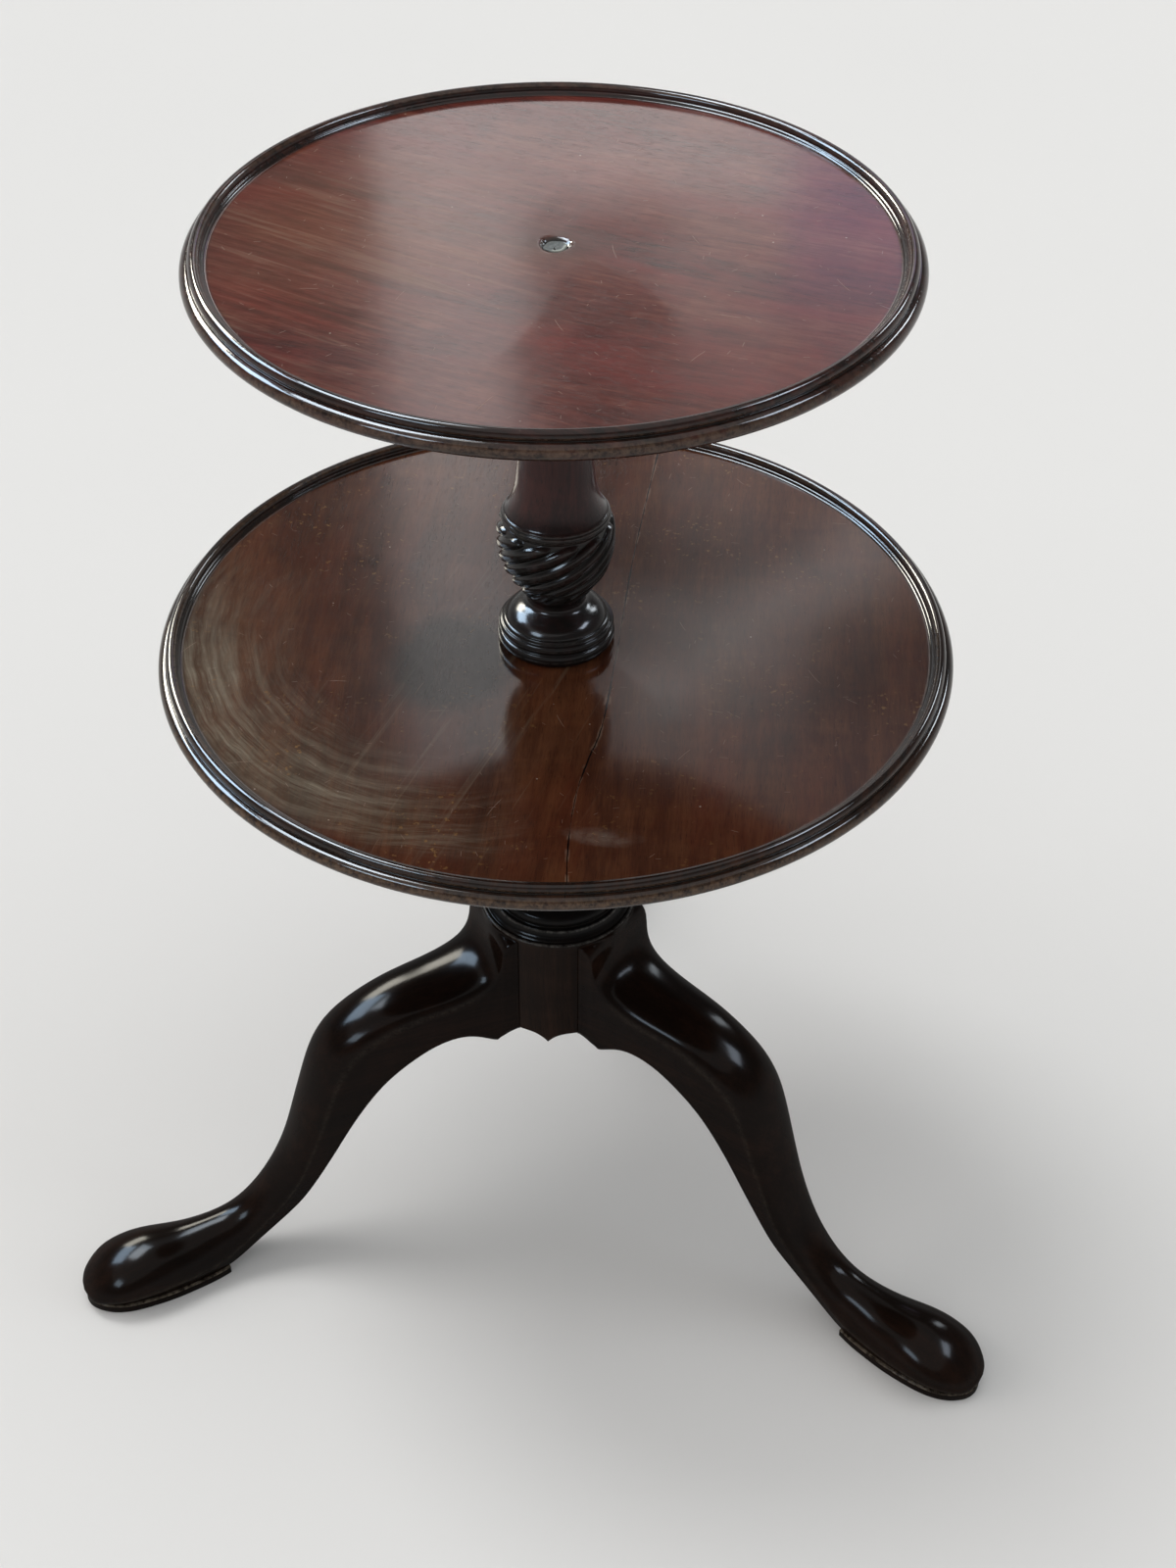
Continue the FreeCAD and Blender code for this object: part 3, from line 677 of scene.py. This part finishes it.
# hollow, where there is one, holds the centre and radius of a hole in the dish and its depth
def buildTray(name, node, body, material, bore, hollow=None):
    s = trayShape
    low, high = placeNode(node)
    radius, base, dish = high[0], low[2], low[2] + s["thickness"]
    profile = softenCorners(trayProfile(radius, base, bore), 1.4, 2)
    shoulder, roll, top = radius - s["lowerReach"], base + s["lowerRoll"], base + s["rimHeight"]

    # The dish lies up to 0.3 mm lower in soft waves, and the rolls dip by less
    def warp(r, z, angle):
        wave = (np.sin(2 * angle + 0.7) + 0.6 * np.sin(3 * angle + r / 55)) * 0.15 + 0.12
        share = easeBetween(radius, radius - 60, r) * easeBetween(5, 90, r) * (z > base + 5)
        z = z - np.abs(wave) * share
        if hollow:
            (cx, cy), reach, depth = hollow
            x, y = r * np.cos(angle) - cx, r * np.sin(angle) - cy
            away = np.hypot(x, y) / (1 + 0.07 * np.sin(3 * np.arctan2(y, x) + 0.5))
            sink = depth * easeBetween(reach + 2.2, reach - 0.2, away)
            z = np.where(z > dish - 2, z - sink, z)
        return r, z

    # Rim marks the blackened moulding, wear its arrises, most at the front, and dirt paints
    # shade into its quirk and cove
    def mark(r, z, angle):
        arris = near(r, z, shoulder - 0.2, roll + 1.6, 0.8)
        crest = near(r, z, shoulder - 6.8, top - 0.6, 2.0) * 0.8
        front = easeBetween(0.55, 0.95, 0.5 + 0.5 * np.cos(angle + math.pi / 2 + 0.15))
        edge = near(r, z, radius, base + 7.0, 14.0) * (0.25 + 0.75 * front)
        quirk = near(r, z, shoulder - 0.9, roll + 0.2, 0.35) * 0.9
        cove = near(r, z, shoulder - 10.2, dish + 0.8, 2.2) * 0.7
        return {"rim": easeBetween(shoulder - 13.5, shoulder - 9.5, r),
                "wear": np.clip(arris + crest + edge, 0, 1),
                "dirt": np.clip(quirk + cove, 0, 1) * 0.9}

    turnedPiece(name, profile, s["columns"], body, node,
                material, warp, mark)


plugShape = {
    "bore": 14.3,
    "sink": 1.4,
    "hollow": 2.6,
    "columns": 72,
}


# Filler plug: a low round lump sunk in its hole. Its top is a cosine dish with ripples, and
# its rim is ragged.
def buildPlug():
    low, high = placeNode("filler_plug")
    radius = (high[0] - low[0]) / 2
    centre = ((low[0] + high[0]) / 2, (low[1] + high[1]) / 2)
    members = [
        ("line", (radius - 0.8, low[2] + 0.1), 10),
        ("line", (radius - 0.4, high[2] - 1.6), 6),
        ("arc", ((radius - 0.8, high[2] - 0.9), (radius - 1.8, high[2] - 0.8)), 6),
        ("line", (0, high[2] - 0.8), 18),
    ]

    # The side nearest the right front stands highest, like a crescent
    def warp(r, z, angle):
        side = 0.5 + 0.5 * np.cos(angle + 0.7)
        share = r / radius
        sink = plugShape["sink"] * (1 - 0.9 * side * easeBetween(0.35, 0.9, share))
        ripple = 0.22 * np.sin(5 * angle + 3 * share) * share + 0.15 * np.sin(9 * share)
        z = np.where(z > high[2] - 1.7, z - sink + ripple + 0.2, z)
        return r * (1 + 0.04 * np.sin(4 * angle) * (share > 0.7)), z

    def mark(r, z, angle):
        side = easeBetween(0.55, 0.95, 0.5 + 0.5 * np.cos(angle + 0.7))
        return {"wear": side * easeBetween(0.55, 0.85, r / radius)}

    turnedPiece("fillerPlug", turnersProfile((0, low[2] + 0.1), members), plugShape["columns"],
                "top_tray", "filler_plug", fillerFinish, warp, mark, centre)
    return centre, radius


plugCentre, plugRadius = buildPlug()
buildTray("topTray", "top_tier", "top_tray", topWood, 0,
          (plugCentre, plugRadius, plugShape["hollow"]))
buildTray("lowerTray", "lower_tier", "lower_tray", lowerWood, plugShape["bore"])


columnShape = {
    "journal": 14.0,
    "dowel": 10.5,
    "dowelLength": 58.0,
    "journalLength": 43.0,
    "ridges": 12,
    "fluteDepth": 2.9,
    "ridgeFrom": 41.0,  # these heights are above the foot of the knop
    "ridgeTo": 97.5,
    "darkLines": (9.5, 16.9, 19.4, 99.1, 101.2, 103.2, 105.1),
    "paleLines": (4.4, 13.2, 17.6, 100.2, 102.3, 104.3, 106.2),
    "degreesPerMm": 2.6,
    "columns": 390,
}


# Upper column: journal and dowel below, a knop of two tori and a dome, the neck, the urn with
# its spiral ridges, three fine reeds, and the tapering shaft with a collar and a seat.
def buildUpperColumn():
    s = columnShape
    low, high = placeNode("upper_column")
    seat = low[2] + s["dowelLength"]
    foot = seat + s["journalLength"]
    rise = high[2] - foot
    ridgeFrom, ridgeTo = s["ridgeFrom"], s["ridgeTo"]
    members = [
        ("line", (s["dowel"], low[2]), 4),
        ("line", (s["dowel"], seat), 10),
        ("line", (s["journal"], seat), 2),
        ("line", (s["journal"], foot), 8),
    ] + raised(foot, [
        ("line", (39.0, 0), 8),
        ("arc", ((40.9, 4.4), (39.6, 8.8)), 14),
        ("arc", ((38.4, 9.5), (39.2, 10.3)), 5),
        ("arc", ((40.3, 13.2), (38.9, 16.3)), 12),
        ("arc", ((37.2, 16.8), (37.2, 17.8)), 5),
        ("arc", ((36.9, 18.6), (36.2, 19.2)), 5),
        ("arc", ((35.4, 19.5), (35.3, 20.3)), 4),
        ("curve", ((33.2, 23.0), (30.2, 25.6), (26.4, 27.8), (22.6, 29.6), (20.3, 31.6),
                   (19.4, 34.2), (20.1, 37.2), (22.2, 40.0), (25.2, 43.8), (28.2, 48.6),
                   (32.4, 54.6), (36.2, 61.6), (39.0, 69.6), (40.6, 79.0), (41.0, 88.6),
                   (40.0, 95.2), (38.6, 99.0)), 130),
        ("arc", ((38.9, 100.2), (38.2, 101.1)), 5),
        ("arc", ((38.3, 102.3), (37.4, 103.1)), 5),
        ("arc", ((37.3, 104.3), (36.3, 105.0)), 5),
        ("arc", ((36.1, 106.2), (35.1, 106.8)), 5),
        ("curve", ((32.9, 110.4), (30.7, 115.0), (28.3, 123.0), (26.8, 133.0), (25.7, 145.0),
                   (24.7, 162.0), (22.4, 196.0), (18.6, rise - 31.0)), 70),
        ("line", (20.4, rise - 30.0), 3),
        ("arc", ((23.0, rise - 27.0), (20.4, rise - 24.0)), 12),
        ("line", (18.6, rise - 23.4), 3),
        ("curve", ((19.6, rise - 17.0), (24.6, rise - 10.0), (33.0, rise - 6.0)), 18),
        ("arc", ((36.0, rise - 3.0), (33.0, rise)), 12),
        ("line", (0, rise), 10),
    ])
    profile = softenCorners(turnersProfile((0, low[2]), members), 1.0, 1)

    # How far each place is up the side of a ridge: 1 on its broad crest, 0 in the narrow groove
    # between two. The lower side is the steeper one.
    def crest(z, angle):
        twist = np.radians(s["degreesPerMm"]) * (z - foot - ridgeFrom)
        phase = s["ridges"] * (angle - twist)
        return (0.5 + 0.5 * np.cos(phase - 0.55 * np.sin(phase) + 0.3)) ** 0.7

    # Flutes sink between the ridges, whose round tips end just below the three reeds
    def warp(r, z, angle):
        up, at = crest(z, angle), z - foot
        tip = ridgeTo - 4.5 * (1 - up)
        flute = (easeBetween(ridgeFrom - 2, ridgeFrom + 9, at)
                 * (1 - easeBetween(ridgeTo + 2.5, ridgeTo + 5.5, at)))
        lifted = up * (1 - easeBetween(tip - 1.0, tip + 0.8, at))
        return r - s["fluteDepth"] * flute * (1 - lifted) * easeBetween(19, 30, r), z

    # Painted shade as dark lines at the named quirk heights and in the flutes, and painted
    # highlights as pale lines on the named crests and faintly on the ridges
    def mark(r, z, angle):
        up, at = crest(z, angle), z - foot
        inUrn = easeBetween(ridgeFrom - 2, ridgeFrom + 5, at) * (at < ridgeTo)
        lines = sum(near(0, at, 0, line, 0.35 ** 2) for line in s["darkLines"])
        reeds = sum(near(0, at, 0, line, 0.45 ** 2) for line in s["paleLines"])
        return {"rim": easeBetween(122, 100, at),
                "dirt": np.clip((1 - up) * 1.2 * inUrn + np.clip(lines, 0, 1) * 0.8, 0, 1),
                "wear": up ** 6 * inUrn * 0.15 + np.clip(reeds, 0, 1) * 0.45}

    turnedPiece("upperColumn", profile, s["columns"], "stand", "upper_column",
                columnWood, warp, mark)


buildUpperColumn()


blockShape = {
    "radius": 59.0,
    "top": 294.0,
    "scallopHalf": 18.4,
    "scallopRise": 9.2,
    "scallopAngle": 42.2,
    "scallopDepth": 26.0,
    "columns": 480,
}


# Height of the scalloped lower edge at each place: an arch across each leg joint, which drops
# with the 2.7th power of the distance from its middle
def scallopHeight(x, y, base):
    s = blockShape
    height = np.full(np.broadcast(x, y).shape, base)
    for turn in legTurns.values():
        for side in (-1, 1):
            way = math.radians(turn + side * s["scallopAngle"])
            along = x * math.cos(way) + y * math.sin(way)
            across = y * math.cos(way) - x * math.sin(way)
            arch = base + s["scallopRise"] * (1 - np.abs(across / s["scallopHalf"]) ** 2.7)
            share = easeBetween(s["radius"] - s["scallopDepth"] - 1,
                                s["radius"] - s["scallopDepth"] + 1, along)
            height = np.maximum(height, np.where(share > 0, base + (arch - base) * share, base))
    return height


# Lower column: the round block with its scalloped edge, a stepped ring, a torus, the baluster,
# a collar and the flared seat.
def buildLowerColumn():
    s = blockShape
    low, high = placeNode("base_column")
    base, block = low[2], s["top"]
    rise = high[2] - block
    members = [
        ("line", (31, base), 6),
        ("line", (58.0, base), 34),
        ("arc", ((58.7, base + 0.3), (s["radius"] - 0.1, base + 1.0)), 3),
        ("line", (s["radius"] - 0.1, block - 1.8), 40),
        ("arc", ((s["radius"] - 0.4, block - 0.5), (s["radius"] - 1.5, block)), 6),
    ] + raised(block, [
        ("line", (56.0, 0), 3),
        ("arc", ((55.4, -0.9), (54.8, 0.1)), 5),
        ("arc", ((51.7, 2.6), (50.5, 6.4)), 10),
        ("arc", ((50.0, 7.1), (49.2, 7.2)), 4),
        ("arc", ((47.0, 7.0), (46.4, 8.2)), 5),
        ("arc", ((47.9, 12.4), (44.6, 16.6)), 18),
        ("line", (41.0, 18.0), 4),
        ("line", (27.4, 18.6), 10),
        ("arc", ((26.4, 20.2), (27.4, 21.8)), 5),
        ("curve", ((30.0, 31.0), (35.6, 54.0), (34.2, 80.0),
                   (25.9, 108.0), (21.2, 138.0), (20.0, rise - 37.5)), 70),
        ("line", (24.0, rise - 37.0), 3),
        ("arc", ((27.8, rise - 33.0), (24.0, rise - 29.2)), 12),
        ("line", (20.4, rise - 28.8), 3),
        ("curve", ((21.4, rise - 20.0), (27.0, rise - 11.5), (38.4, rise - 7.0)), 20),
        ("arc", ((41.8, rise - 3.5), (38.4, rise)), 12),
        ("line", (11.0, rise), 10),
        ("line", (11.0, rise - 58.0), 12),
        ("line", (0, rise - 58.0), 4),
    ])
    profile = softenCorners(turnersProfile((0, base), members), 1.2, 2)

    def warp(r, z, angle):
        lowest = scallopHeight(r * np.cos(angle), r * np.sin(angle), base)
        share = np.clip((block - 40 - z) / (block - 40 - base), 0, 1)
        return r, z + (lowest - base) * share

    def mark(r, z, angle):
        # Painted highlights as pale lines on the block's top edge and on the stepped ring, and
        # painted shade as dark lines in the groove at the block's edge and in the quirk under
        # the torus; rim blackens the rings.
        edge = near(0, z, 0, block - 0.6, 0.49) * (r > 57.4)
        edge = edge + near(r, z, 50.4, block + 6.2, 0.8)
        lines = near(r, z, 55.4, block - 0.6, 0.5) + near(r, z, 46.6, block + 7.6, 0.6)
        rim = easeBetween(block + 45, block + 20, z) * easeBetween(block - 3, block + 1, z)
        return {"rim": rim, "wear": np.clip(edge, 0, 1) * 0.8,
                "dirt": np.clip(lines, 0, 1) * 0.8}

    turnedPiece("lowerColumn", profile, s["columns"], "stand", "base_column",
                blockWood, warp, mark)


buildLowerColumn()


# Stations along a leg in mm, root first: reach and height of its upper and lower edge, half
# width, share of that at the lower edge, and the share of the depth that is a flat cheek.
legShape = {
    "stations": [
        (46.0, 293.0, 46.0, 191.0, 35.5, 1.00, 0.97),
        (58.5, 288.0, 59.0, 191.0, 35.0, 1.00, 0.92),
        (65.5, 265.0, 67.0, 191.0, 33.8, 1.00, 0.82),
        (101.4, 249.7, 86.1, 200.5, 32.2, 1.00, 0.72),
        (137.9, 243.3, 114.6, 197.2, 29.8, 1.00, 0.72),
        (169.9, 231.1, 146.3, 178.6, 28.5, 0.99, 0.74),
        (191.6, 215.2, 165.8, 158.1, 27.1, 0.98, 0.72),
        (204.0, 196.4, 181.4, 135.6, 26.1, 0.96, 0.64),
        (212.5, 172.6, 196.9, 108.4, 24.7, 0.93, 0.56),
        (221.6, 142.2, 209.0, 86.6, 23.0, 0.90, 0.52),
        (231.2, 111.0, 223.9, 64.6, 22.1, 0.87, 0.50),
        (248.6, 81.2, 241.8, 44.9, 19.6, 0.85, 0.46),
        (273.9, 56.2, 268.0, 24.8, 19.5, 0.85, 0.40),
        (302.5, 48.0, 292.8, 8.5, 22.6, 0.76, 0.34),
        (327.5, 45.5, 321.0, 7.0, 27.5, 0.80, 0.32),
        (352.0, 46.0, 350.0, 7.0, 32.0, 0.76, 0.34),
        (374.0, 41.0, 373.0, 7.0, 32.0, 0.72, 0.38),
        (388.8, 33.0, 388.0, 7.0, 27.0, 0.68, 0.42),
        (399.6, 24.0, 398.6, 7.2, 18.3, 0.58, 0.42),
        (404.6, 17.0, 401.4, 7.6, 10.0, 0.56, 0.45),
    ],
    "toe": (404.9, 12.8),
    "rows": 170,
    "cheekRelief": 0.8,
    "soleTop": 7.6,
    "soleOutline": [(290.5, 17.5), (302.0, 20.8), (317.0, 23.6), (335.0, 26.0), (354.0, 26.8),
                    (373.0, 25.6), (388.0, 20.8), (397.0, 14.0), (401.8, 7.2)],
    "soleToe": 403.3,
}


# One leg along +X before it is turned to its place. Each row is a section across the leg from
# its lower edge to its upper edge: flat below, cheeks that widen up to the cheek share, and
# above them a half ellipse, set in from the cheeks by a shallow relief near the knee.
def legSurface():
    s = legShape
    stations = np.array(s["stations"])
    knots = np.arange(len(stations), dtype=float)
    places = np.linspace(0, knots[-1], s["rows"])
    topR, topZ, lowR, lowZ, half, edge, cheek = (splineThrough(knots, column, places)[:, None]
                                                 for column in stations.T)
    floor, side, crown = 13, 18, 31
    across = np.linspace(-1, 1, floor + 2)
    up = np.linspace(0, 1, side + 1)[1:]
    round_ = np.linspace(0, math.pi, crown + 2)
    depth = np.concatenate([np.broadcast_to(0 * across, (s["rows"], floor + 2)),
                            cheek * up, cheek + (1 - cheek) * np.sin(round_)[None, 1:-1],
                            cheek * up[::-1]], 1)
    wide = np.concatenate([edge * across, edge + (1 - edge) * up,
                           np.broadcast_to(np.cos(round_)[1:-1], (s["rows"], crown)),
                           -(edge + (1 - edge) * up[::-1])], 1)
    reach = lowR + (topR - lowR) * depth
    height = lowZ + (topZ - lowZ) * depth
    relief = (easeBetween(0, 0.08, depth - cheek) * easeBetween(64, 72, topR)
              * easeBetween(205, 160, topR))
    width = wide * half
    width = width - np.sign(width) * np.minimum(s["cheekRelief"] * relief, np.abs(width) * 0.2)
    grid = np.stack([reach, width, height], -1)
    ring = np.concatenate([grid[:, -2:], grid, grid[:, :2]], 1)
    ring = np.swapaxes(softenCorners(np.swapaxes(ring, 0, 1), 9.0, 1), 0, 1)
    return ring[:, 2:-2], reach, cheek, depth


# The sole: its outline in plan, drawn in at the foot and chamfered at the top
def soleSurface():
    s = legShape
    outline = np.array(s["soleOutline"])
    run = np.arange(len(outline) + 1, dtype=float)
    side = np.vstack([outline, [s["soleToe"], 0]])
    places = np.linspace(0, run[-1], 60)
    reach, half = (splineThrough(run, side[:, k], places) for k in (0, 1))
    right = np.stack([reach, -half], -1)
    left = np.stack([reach, half], -1)[::-1][1:]
    plan = np.concatenate([right, left])
    centre = np.array([345.0, 0.0])
    rows = []
    for height, shrink in ((0.0, 0.985), (0.8, 1.0), (s["soleTop"] - 1.5, 1.0),
                           (s["soleTop"] - 0.9, 1.0), (s["soleTop"], 0.975)):
        rows.append(np.column_stack([centre + (plan - centre) * shrink,
                                     np.full(len(plan), height)]))
    return np.array(rows)


def buildLeg(name, turn):
    grid, reach, cheek, depth = legSurface()
    rows, columns = grid.shape[:2]
    sole = soleSurface()
    base = placeNode("base_column")[0][2]
    body = grid.reshape(-1, 3)
    ends = np.array([grid[0].mean(0), [legShape["toe"][0], 0, legShape["toe"][1]]])
    soleRows, soleColumns = sole.shape[:2]
    soleEnds = np.array([[345.0, 0, 0], [345.0, 0, legShape["soleTop"]]])
    faces = gridFaces(rows, columns, False, True, True)
    shift = len(body) + 2
    soleFaces = [[v + shift for v in face] for face in
                 gridFaces(soleRows, soleColumns, False, True, True)]
    points = np.vstack([body, ends, sole.reshape(-1, 3), soleEnds])
    angle = math.radians(turn)
    x = points[:, 0] * math.cos(angle) - points[:, 1] * math.sin(angle)
    y = points[:, 0] * math.sin(angle) + points[:, 1] * math.cos(angle)
    lowest = scallopHeight(x, y, base)
    nearRoot = (points[:, 0] < 100) & (lowest > base)
    z = np.where(nearRoot, np.maximum(points[:, 2], lowest), points[:, 2])
    far = np.hypot(x, y)
    block = blockShape["radius"] + 0.1
    push = np.where((far < block) & (z < blockShape["top"]), block / np.maximum(far, 1), 1.0)
    push = np.minimum(push, 1.25)
    points = np.column_stack([x * push, y * push, z])
    # A faint line on the arris between cheek and crown, and a pale painted highlight line round
    # the top edge of the sole.
    cheekArrisLine = np.exp(-((depth - cheek) / 0.05) ** 2) * easeBetween(66, 90, reach)
    soleHighlight = np.zeros((soleRows, soleColumns))
    soleHighlight[-2:] = 1
    wear = np.concatenate([cheekArrisLine.ravel() * 0.12, [0, 0], soleHighlight.ravel(), [0, 0]])
    marks = {"wear": wear, "rim": np.zeros(len(points)), "dirt": np.zeros(len(points))}
    finishPiece("leg" + name.split("_")[1].capitalize(), points, faces + soleFaces, "stand",
                name, legWoods[name], marks)


for legName, legTurn in legTurns.items():
    buildLeg(legName, legTurn)


for finish, *nodes in (
        (ironFinish, "leg_bracket"), (leatherFinish, "lower_washer", "top_washer"),
        (bearerWood, "lower_bearer", "top_bearer"),
        (steelFinish, "bracket_screws", "lower_bearer_screws", "top_bearer_screws",
         "top_pivot")):
    for node in nodes:
        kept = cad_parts[node].data.materials
        kept.clear()
        kept.append(finish)
print("kept nodes finished")


# Each soft light has a direction that it comes from, a width in degrees, its share of the
# light on the floor and a tint. Windows face the table: each has a place, a size in metres,
# the brightness of its face and a tint. Walls stand behind the table and face the front: each
# has a place across and up, a size, a brightness, a tint and perhaps a tilt in degrees.
studio = {
    "floorColour": (0.81, 0.81, 0.80),
    "floorPatches": (0.785, 0.785, 0.775),
    "floorSize": 60.0,
    "floorDrop": 0.0002,
    "horizon": 0.77,
    "overhead": 0.20,
    "horizonRise": (0.10, 0.38),
    "softLights": {
        "skylight": ((-0.12, -0.10, 1.0), 84.0, 0.38, (1.0, 0.997, 0.99)),
        "key": ((-0.36, 0.20, 1.0), 20.0, 0.25, (1.0, 1.0, 0.99)),
        "leftFill": ((-1.0, -0.15, 0.45), 40.0, 0.24, (1.0, 0.945, 0.92)),
        "rightFill": ((1.0, 0.10, 0.50), 40.0, 0.16, (0.90, 0.95, 1.0)),
    },
    "windowTarget": (0.0, 0.0, 0.3),
    "windows": {
        "coolWindow": ((-4.7, 1.9, 4.9), (2.9, 2.0), 36.0, (0.60, 0.79, 1.0)),
        "highWindow": ((-2.3, 1.4, 5.6), (2.5, 1.9), 32.0, (0.76, 0.88, 1.0)),
        "frontWindow": ((-3.5, -4.0, 4.7), (2.2, 1.3), 20.0, (0.66, 0.83, 1.0)),
        "warmWindow": ((-4.3, 4.9, 4.8), (2.7, 1.7), 44.0, (1.0, 0.96, 0.84)),
        "farWindow": ((3.7, 5.5, 4.8), (0.9, 1.6), 22.0, (0.85, 0.93, 1.0)),
        "rightWindow": ((4.0, 0.42, 5.3), (2.1, 1.2), 24.0, (0.74, 0.85, 1.0)),
    },
    "wallPlace": 6.0,
    "walls": {
        "paleWallLeft": ((-1.19, 4.6), (0.46, 2.4), 2.9, (1.0, 0.97, 0.97)),
        "paleWallBack": ((-0.53, 3.6), (0.88, 0.66), 3.1, (1.0, 0.95, 0.94)),
        "paleWallMiddle": ((-0.28, 4.22), (0.36, 0.58), 1.3, (1.0, 0.93, 0.92)),
        "mauveWall": ((0.50, 3.75), (1.2, 0.9), 1.8, (0.82, 0.70, 1.0)),
        "bandWall": ((-0.02, 4.79), (1.55, 0.20), 4.4, (1.0, 0.95, 0.93), 41.0),
        "lowWallMiddle": ((-0.30, 5.3), (0.7, 0.8), 1.3, (1.0, 0.93, 0.93)),
        "lowWallRight": ((0.60, 5.6), (1.1, 0.7), 0.6, (0.94, 0.88, 1.0)),
    },
}


def addObject(name, data):
    thing = bpy.data.objects.new(name, data)
    bpy.context.scene.collection.objects.link(thing)
    return thing


def buildFloor():
    size, drop = studio["floorSize"], -studio["floorDrop"]
    mesh = bpy.data.meshes.new("floor")
    mesh.from_pydata([(-size, -size, drop), (size, -size, drop), (size, size, drop),
                      (-size, size, drop)], [], [(0, 1, 2, 3)])
    floor = addObject("floor", mesh)
    material, place = startMaterial("paleFloor")
    grey = blend(cloud(place, 1.3, 2.0), studio["floorColour"], studio["floorPatches"])
    shadeWith(place.tree, "Diffuse", {"Color": grey})
    mesh.materials.append(material)


# Places a thing so that its -Z axis points at the target, and turns it about that axis
def aimAt(thing, spot, target, turn=0.0):
    back = np.array(spot, float) - np.array(target, float)
    back /= np.linalg.norm(back)
    right = np.cross((0, 0, 1), back)
    right /= np.linalg.norm(right)
    up = np.cross(back, right)
    cos, sin = math.cos(math.radians(turn)), math.sin(math.radians(turn))
    right, up = cos * right + sin * up, cos * up - sin * right
    axes = Matrix(np.column_stack([right, up, back]).tolist()).to_4x4()
    thing.matrix_world = Matrix.Translation(spot) @ axes


def placeLamp(name, light, tint, spot, target, tilt=0.0):
    light.color = tint
    lamp = addObject(name, light)
    lamp.visible_camera = False
    aimAt(lamp, spot, target, tilt)
    return lamp


def placeWindow(name, spot, target, size, brightness, tint, tilt=0.0):
    light = bpy.data.lights.new(name, "AREA")
    light.shape = "RECTANGLE"
    light.size, light.size_y = size
    light.energy = brightness * math.pi * size[0] * size[1]
    window = placeLamp(name, light, tint, spot, target, tilt)
    window.visible_diffuse = False  # seen in the polish only


# The world is pale near the horizon and dim overhead, like a room with pale walls
def buildRoom():
    s = studio
    world = bpy.data.worlds.new("studioWorld")
    world.use_nodes = True
    tree = world.node_tree
    up = split(outputOf(tree, "TexCoord", out="Generated"))[2]
    strength = fit(up, *s["horizonRise"], s["horizon"], s["overhead"])
    background = tree.nodes["Background"]
    tree.links.new(strength.socket, background.inputs["Strength"])
    background.inputs["Color"].default_value = (1.0, 1.0, 1.0, 1.0)
    bpy.context.scene.world = world
    for name, (way, degrees, share, tint) in s["softLights"].items():
        light = bpy.data.lights.new(name, "SUN")
        light.angle = math.radians(degrees)
        light.energy = share * math.pi
        lamp = placeLamp(name, light, tint, way, (0, 0, 0))
        lamp.visible_glossy = "Fill" not in name  # the fills are not mirrored in the trays
    for name, (spot, size, brightness, tint) in s["windows"].items():
        placeWindow(name, spot, s["windowTarget"], size, brightness, tint)
    for name, ((x, z), *rest) in s["walls"].items():
        placeWindow(name, (x, s["wallPlace"], z), (x, 0.0, z), *rest)


photoCamera = {
    "place": (0.2039, -1.4507, 1.6242),
    "yaw": 7.11,
    "pitch": 39.81,
    "roll": 0.263,
    "focalPixels": 2632.1,
    "framePixels": 1600.0,
    "aspect": 0.75,
    "sensor": 24.0,
    "farthest": 60.0,
}


# The camera looks along +Y, turned left by yaw and down by pitch, then rolled
def buildCamera():
    s = photoCamera
    yaw, pitch = math.radians(s["yaw"]), math.radians(s["pitch"])
    ahead = np.array([-math.sin(yaw) * math.cos(pitch), math.cos(yaw) * math.cos(pitch),
                      -math.sin(pitch)])
    data = bpy.data.cameras.new("photoCamera")
    data.sensor_fit = "VERTICAL"
    data.sensor_height = s["sensor"]
    data.sensor_width = s["sensor"] * s["aspect"]
    data.lens = s["focalPixels"] / s["framePixels"] * s["sensor"]
    data.clip_end = s["farthest"]
    camera = addObject("photoCamera", data)
    aimAt(camera, s["place"], s["place"] + ahead, s["roll"])
    bpy.context.scene.camera = camera


buildFloor()
buildRoom()
buildCamera()
bpy.context.scene.view_settings.view_transform = "Standard"
print("studio ready")
